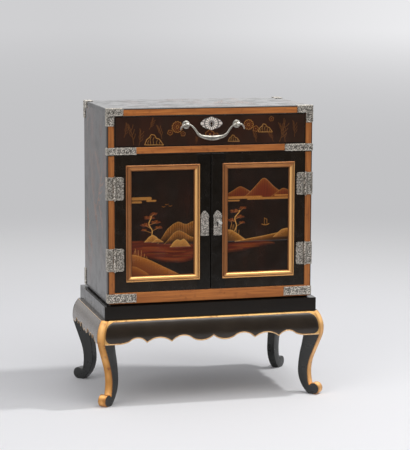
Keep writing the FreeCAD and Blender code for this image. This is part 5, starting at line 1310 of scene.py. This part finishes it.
# %% Nails in the hinges
HINGE_AXIS_X, DOOR_NAIL_IN, CASE_NAIL_X, NAIL_SPACING = 187.0, 12.5, 195.5, 15
LEAF_HALF_HEIGHT, LEAF_THICKNESS = 21.75, 1.2
leaf_low, leaf_high = box_mm("left_hinge_door_leaves")
leaf_face_y = leaf_high[1] - LEAF_THICKNESS
hinge_middles = [leaf_low[2] + LEAF_HALF_HEIGHT, leaf_high[2] - LEAF_HALF_HEIGHT]
for side, body in ((-1, "left_door"), (1, "right_door")):
    door_places = [((side * (HINGE_AXIS_X - DOOR_NAIL_IN), leaf_face_y, middle + rise), "front")
                   for middle in hinge_middles for rise in (-NAIL_SPACING, NAIL_SPACING)]
    nail_heads(f"{body}_hinge_nails", door_places, body)
case_places = [((side * CASE_NAIL_X, leaf_face_y, middle + rise), "front")
               for side in (-1, 1) for middle in hinge_middles for rise in (-NAIL_SPACING, 0, NAIL_SPACING)]
nail_heads("case_hinge_nails", case_places, "cabinet")

# %% Rims round the plates
RIM_RADIUS, RIM_INSET, RIM_STEP, RIM_SOFTEN = 0.5, 1.3, 0.7, 2


def rim_path(corners):
    """A closed line in a plate: even steps round its corners, averaged to round them, moved inwards."""
    closed = np.array([*corners, corners[0]], float)
    run = np.concatenate([[0], np.cumsum(np.hypot(*np.diff(closed, axis=0).T))])
    at = np.linspace(0, run[-1], int(run[-1] / RIM_STEP), endpoint=False)
    path = np.stack([np.interp(at, run, closed[:, axis]) for axis in (0, 1)], 1)
    path = np.mean([np.roll(path, shift, 0) for shift in range(-RIM_SOFTEN, RIM_SOFTEN + 1)], 0)
    return path + RIM_INSET * left_of(path)


def rim_wires(name, plates, body, around=8):
    """One mesh of wires, each a circle carried round a plate's inner line, half sunk in the plate."""
    points, faces = [], []
    angle = np.linspace(0, 2 * np.pi, around, endpoint=False)
    for face_name, depth, corners in plates:
        across, up, out = np.array(WAYS[face_name], float)
        path = rim_path(corners)
        flat = path[:, None] + RIM_RADIUS * np.cos(angle)[None, :, None] * left_of(path)[:, None]
        rise = depth + RIM_RADIUS * np.sin(angle)[None, :, None]
        start = sum(map(len, points))
        faces.append(grid_quads(len(path), around, start, round_columns=True, round_rows=True))
        points.append(MM * (flat[..., :1] * across + flat[..., 1:] * up + rise * out).reshape(-1, 3))
    make_piece(name, np.vstack(points), np.vstack(faces), [rim_metal], body, "mount_metal")


def mirrored(plates):
    """The same plates on the left half of the case."""
    return [({"right": "left"}.get(face, face), depth, [(-u, v) for u, v in corners[::-1]])
            for face, depth, corners in plates]


print("points along a rim of 20 x 40 mm:", len(rim_path(oblong(0, 20, 0, 40))))

# %% Rims on the mounts
STILE, CORNER_RUN, CORNER_BAND, STRAP_RUN, FOOT_RUN = 13.0, 30.5, 14, 55.0, 54.5
BACK_RUN, BACK_DROP, BACK_PROUD = 30.0, 34.0, 1
outer_x, front_y, mount_top, wrap_end = mount_high[0], -mount_low[1], mount_high[2], mount_high[1]
stile_x, corner_x = CASE_HALF_WIDTH - STILE, CASE_HALF_WIDTH - CORNER_RUN
back_low, back_high = box_mm("back_corner_mounts")
back_y, band_low = back_high[1], back_high[2] - BACK_PROUD - STILE
upright_y, run_y = back_y - BACK_PROUD - STILE, back_y - BACK_PROUD - BACK_RUN
drop_z, foot_top = back_high[2] - BACK_PROUD - BACK_DROP, back_low[2] + BACK_DROP
back_in = BACK_PROUD + STILE - outer_x
mounts = [
    ("front", front_y, [(corner_x, mount_top - CORNER_BAND), (stile_x, mount_top - CORNER_BAND),
                        (stile_x, mount_low[2]), (outer_x, mount_low[2]), (outer_x, mount_top),
                        (corner_x, mount_top)]),
    ("front", front_y, oblong(CASE_HALF_WIDTH - STRAP_RUN, outer_x, strap_low[2], strap_high[2])),
    ("front", front_y, oblong(CASE_HALF_WIDTH - FOOT_RUN, outer_x, foot_low[2], foot_high[2])),
    *(("right", outer_x, oblong(-front_y, wrap_end, low[2], high[2]))
      for low, high in ((mount_low, mount_high), (strap_low, strap_high), (foot_low, foot_high))),
    ("right", outer_x, [(upright_y, drop_z), (back_y, drop_z), (back_y, mount_top), (run_y, mount_top),
                        (run_y, band_low), (upright_y, band_low)]),
    ("right", outer_x, oblong(upright_y, back_y, back_low[2], foot_top)),
    ("back", back_y, oblong(-outer_x, back_in, drop_z, mount_top)),
    ("back", back_y, oblong(-outer_x, back_in, back_low[2], foot_top)),
]
rim_wires("mount_rims", mounts + mirrored(mounts), "cabinet")

# %% Rims on the hinges
BARREL_CLEAR, DOOR_LEAF_RUN, LEAF_WRAP = 2.9, 14.7, 13.0
leaf_outer = CASE_HALF_WIDTH + LEAF_THICKNESS
leaf_inner = -leaf_low[0] - DOOR_LEAF_RUN - BARREL_CLEAR
case_leaves, door_leaves = [], []
for middle in hinge_middles:
    span = middle - LEAF_HALF_HEIGHT, middle + LEAF_HALF_HEIGHT
    case_leaves.append(("front", -leaf_face_y, oblong(HINGE_AXIS_X + BARREL_CLEAR, leaf_outer, *span)))
    case_leaves.append(("right", leaf_outer, oblong(leaf_face_y, LEAF_WRAP + leaf_high[1], *span)))
    door_leaves.append(("front", -leaf_face_y, oblong(leaf_inner, HINGE_AXIS_X - BARREL_CLEAR, *span)))
rim_wires("case_hinge_rims", case_leaves + mirrored(case_leaves), "cabinet")
rim_wires("right_door_hinge_rims", door_leaves, "right_door")
rim_wires("left_door_hinge_rims", mirrored(door_leaves), "left_door")

# %% [markdown]
# ## Floor, light and camera
# The photograph was taken on a pale paper sweep. A wide floor with a slow change of tone stands
# for it, so the background stays soft from every side. A small lamp high on the right throws the
# clear shadow under the stand. Large lamps above, on the left and on the right light the front
# softly, and glossy lacquer reflects a pale surround that is brighter above and left than in front.

# %% Floor
FLOOR_HALF = 60.0
floor_mesh = bpy.data.meshes.new("paper_sweep")
floor_mesh.from_pydata([(x, y, 0) for x, y in oblong(-FLOOR_HALF, FLOOR_HALF, -FLOOR_HALF, FLOOR_HALF)], [],
                       [(0, 1, 2, 3)])
floor = bpy.data.objects.new("paper_sweep", floor_mesh)
scene.collection.objects.link(floor)
print("the floor is", 2 * FLOOR_HALF, "m wide")

# %% Paper and its backdrop
paper, tree, shader, place = new_finish("pale_paper")
split = add(tree, "SeparateXYZ", {0: place})
floor_x, floor_y = split.outputs["X"], split.outputs["Y"]
away = add(tree, "VectorMath", {0: place}, operation="LENGTH")
glossy = add(tree, "LightPath").outputs["Is Glossy Ray"]
# Near the object the paper is lit and takes the shadow; further out it turns into a softly graded backdrop,
# darker in a ring just beyond the lit paper as painted shade, and paler to the right as painted light.
sweep = add(tree, "MapRange", {"Value": away, 1: 0.7, 2: 2.1}, **SMOOTH)
bend = add(tree, "MapRange", {"Value": away, 1: 0.7, 2: 2.6}, **SMOOTH)
near = add(tree, "Mix", {0: bend, 6: "#e2e2e3", 7: "#c2c2c4"}, **COLOURS)
far = add(tree, "MapRange", {"Value": away, 1: 3.5, 2: 22.0}, **SMOOTH)
rise = add(tree, "Mix", {0: far, 6: near, 7: "#cfcfd1"}, **COLOURS)
# Paler towards the right: painted light on the backdrop.
bearing = add(tree, "Math", {0: floor_x, 1: away}, operation="DIVIDE")
aside = add(tree, "MapRange", {"Value": bearing, 1: 0.16, 2: 0.45}, **SMOOTH)
paler = add(tree, "Math", {0: aside, 1: far}, operation="MULTIPLY")
backdrop = add(tree, "Mix", {0: paler, 6: rise, 7: "#f0f0f2"}, **COLOURS)
# A dark room lies behind the camera, and only reflections show it.
DARK_ROOM = "#3a3a3b"
ahead = add(tree, "MapRange", {"Value": floor_y, 1: -0.5, 2: -1.5}, **SMOOTH)
beside = add(tree, "MapRange", {"Value": floor_x, 1: -1.1, 2: -0.3}, **SMOOTH)
front_room = add(tree, "Math", {0: ahead, 1: beside}, operation="MULTIPLY")
right_room = add(tree, "MapRange", {"Value": floor_x, 1: 0.6, 2: 1.4, 4: 0.9}, **SMOOTH)
depth = add(tree, "Math", {0: front_room, 1: right_room}, operation="MAXIMUM")
room = add(tree, "Math", {0: depth, 1: glossy}, operation="MULTIPLY")
# Left of the object a white sheet throws light back, and gilding and metal mirror it.
leftwards = add(tree, "MapRange", {"Value": floor_x, 1: -0.5, 2: -1.3}, **SMOOTH)
in_front = add(tree, "MapRange", {"Value": floor_y, 1: 0.6, 2: 0.1}, **SMOOTH)
sheet = add(tree, "Math", {0: leftwards, 1: in_front}, operation="MULTIPLY")
mirrored_sheet = add(tree, "Math", {0: sheet, 1: glossy}, operation="MULTIPLY")
whitened = add(tree, "Mix", {0: mirrored_sheet, 6: backdrop, 7: "#ffffff"}, **COLOURS)
glow = add(tree, "Mix", {0: room, 6: whitened, 7: DARK_ROOM}, **COLOURS)
lit = add(tree, "Mix", {0: room, 6: "#ededef", 7: DARK_ROOM}, **COLOURS)
plug(tree, shader, {"Base Color": lit, "Roughness": 0.9, "Specular IOR Level": 0.1})
shine = add(tree, "Emission", {"Color": glow, "Strength": 1.0})
both = add(tree, "MixShader", {0: sweep, 1: shader, 2: shine})
plug(tree, tree.nodes["Material Output"], {"Surface": both})
floor_mesh.materials.append(paper)
print("paper nodes:", len(tree.nodes))

# %% Surround
world = bpy.data.worlds.new("studio_surround")
scene.world = world
world.use_nodes = True
tree = world.node_tree
rays = add(tree, "LightPath").outputs
way = add(tree, "SeparateXYZ", {0: add(tree, "TexCoord").outputs["Generated"]}).outputs
behind = add(tree, "MapRange", {"Value": way["Y"], 1: -0.75, 2: 0.1}, **SMOOTH)
above = add(tree, "MapRange", {"Value": way["Z"], 1: 0.45, 2: 0.85}, **SMOOTH)
leftwards = add(tree, "MapRange", {"Value": way["X"], 1: -0.3, 2: -0.75}, **SMOOTH)
rightwards = add(tree, "MapRange", {"Value": way["X"], 1: 0.22, 2: 0.34}, **SMOOTH)
bright = add(tree, "Math", {0: behind, 1: above}, operation="MAXIMUM")
bright = add(tree, "Math", {0: bright, 1: leftwards}, operation="MAXIMUM")
pale = add(tree, "Mix", {0: rightwards, 6: "#f0f0f1", 7: "#ffffff"}, **COLOURS)
reflected = add(tree, "Mix", {0: bright, 6: "#444445", 7: pale}, **COLOURS)
shown = add(tree, "Mix", {0: rays["Is Glossy Ray"], 6: "#ababad", 7: reflected}, **COLOURS)
light = add(tree, "Mix", {0: rays["Is Camera Ray"], 6: shown, 7: "#d2d2d4"}, **COLOURS)
ceiling = add(tree, "Math", {0: above, 1: rays["Is Glossy Ray"]}, operation="MULTIPLY")
strength = add(tree, "MapRange", {"Value": ceiling, 3: 1.0, 4: 2.6})
plug(tree, tree.nodes["Background"], {"Color": light, "Strength": strength})
print("surround nodes:", len(tree.nodes))

# %% Lamps, each with its place, its size in metres and its watts
LAMPS = (
    ("key_lamp", (1.35, -0.25, 2.4), 0.17, 24.5),
    ("overhead_softbox", (0.55, -1.25, 2.6), 1.8, 20.0),
    ("left_softbox", (-3.0, -2.0, 1.75), 3.2, 52.0),
    ("right_softbox", (2.4, -2.4, 1.6), 2.2, 8.0),
)
LAMPS_AIM = Vector((0, 0, 0.3))
for name, at, size, watts in LAMPS:
    lamp = bpy.data.lights.new(name, "AREA")
    lamp.shape = "SQUARE"
    lamp.size = size
    lamp.energy = watts
    lamp_object = bpy.data.objects.new(name, lamp)
    towards = LAMPS_AIM - Vector(at)
    lamp_object.matrix_world = Matrix.Translation(at) @ towards.to_track_quat("-Z", "Y").to_matrix().to_4x4()
    lamp_object.visible_glossy = name != "left_softbox"
    scene.collection.objects.link(lamp_object)
    print(name, "is", towards.length, "m from the cabinet")

# %% Camera
IMAGE_HEIGHT_PX, FOCAL_PX, SENSOR_MM = 450, 1738.6, 36.0
CAMERA_AT = (-0.8504, -3.2668, 0.819)
YAW, PITCH, ROLL = np.radians([14.889, 8.368, 0.169])
camera = bpy.data.cameras.new("photograph")
camera.sensor_fit = "VERTICAL"
camera.sensor_height = SENSOR_MM
camera.lens = FOCAL_PX * SENSOR_MM / IMAGE_HEIGHT_PX
camera_object = bpy.data.objects.new("photograph", camera)
forward = Vector((np.sin(YAW) * np.cos(PITCH), np.cos(YAW) * np.cos(PITCH), -np.sin(PITCH)))
rightwards = forward.cross(Vector((0, 0, 1))).normalized()
upwards = rightwards.cross(forward)
tilted_right = rightwards * np.cos(ROLL) + upwards * np.sin(ROLL)
tilted_up = upwards * np.cos(ROLL) - rightwards * np.sin(ROLL)
turn = Matrix((tilted_right, tilted_up, -forward)).transposed().to_4x4()
camera_object.matrix_world = Matrix.Translation(CAMERA_AT) @ turn
scene.collection.objects.link(camera_object)
scene.camera = camera_object
scene.view_settings.view_transform = "Standard"
print("lens:", camera.lens, "mm")

# %% [markdown]
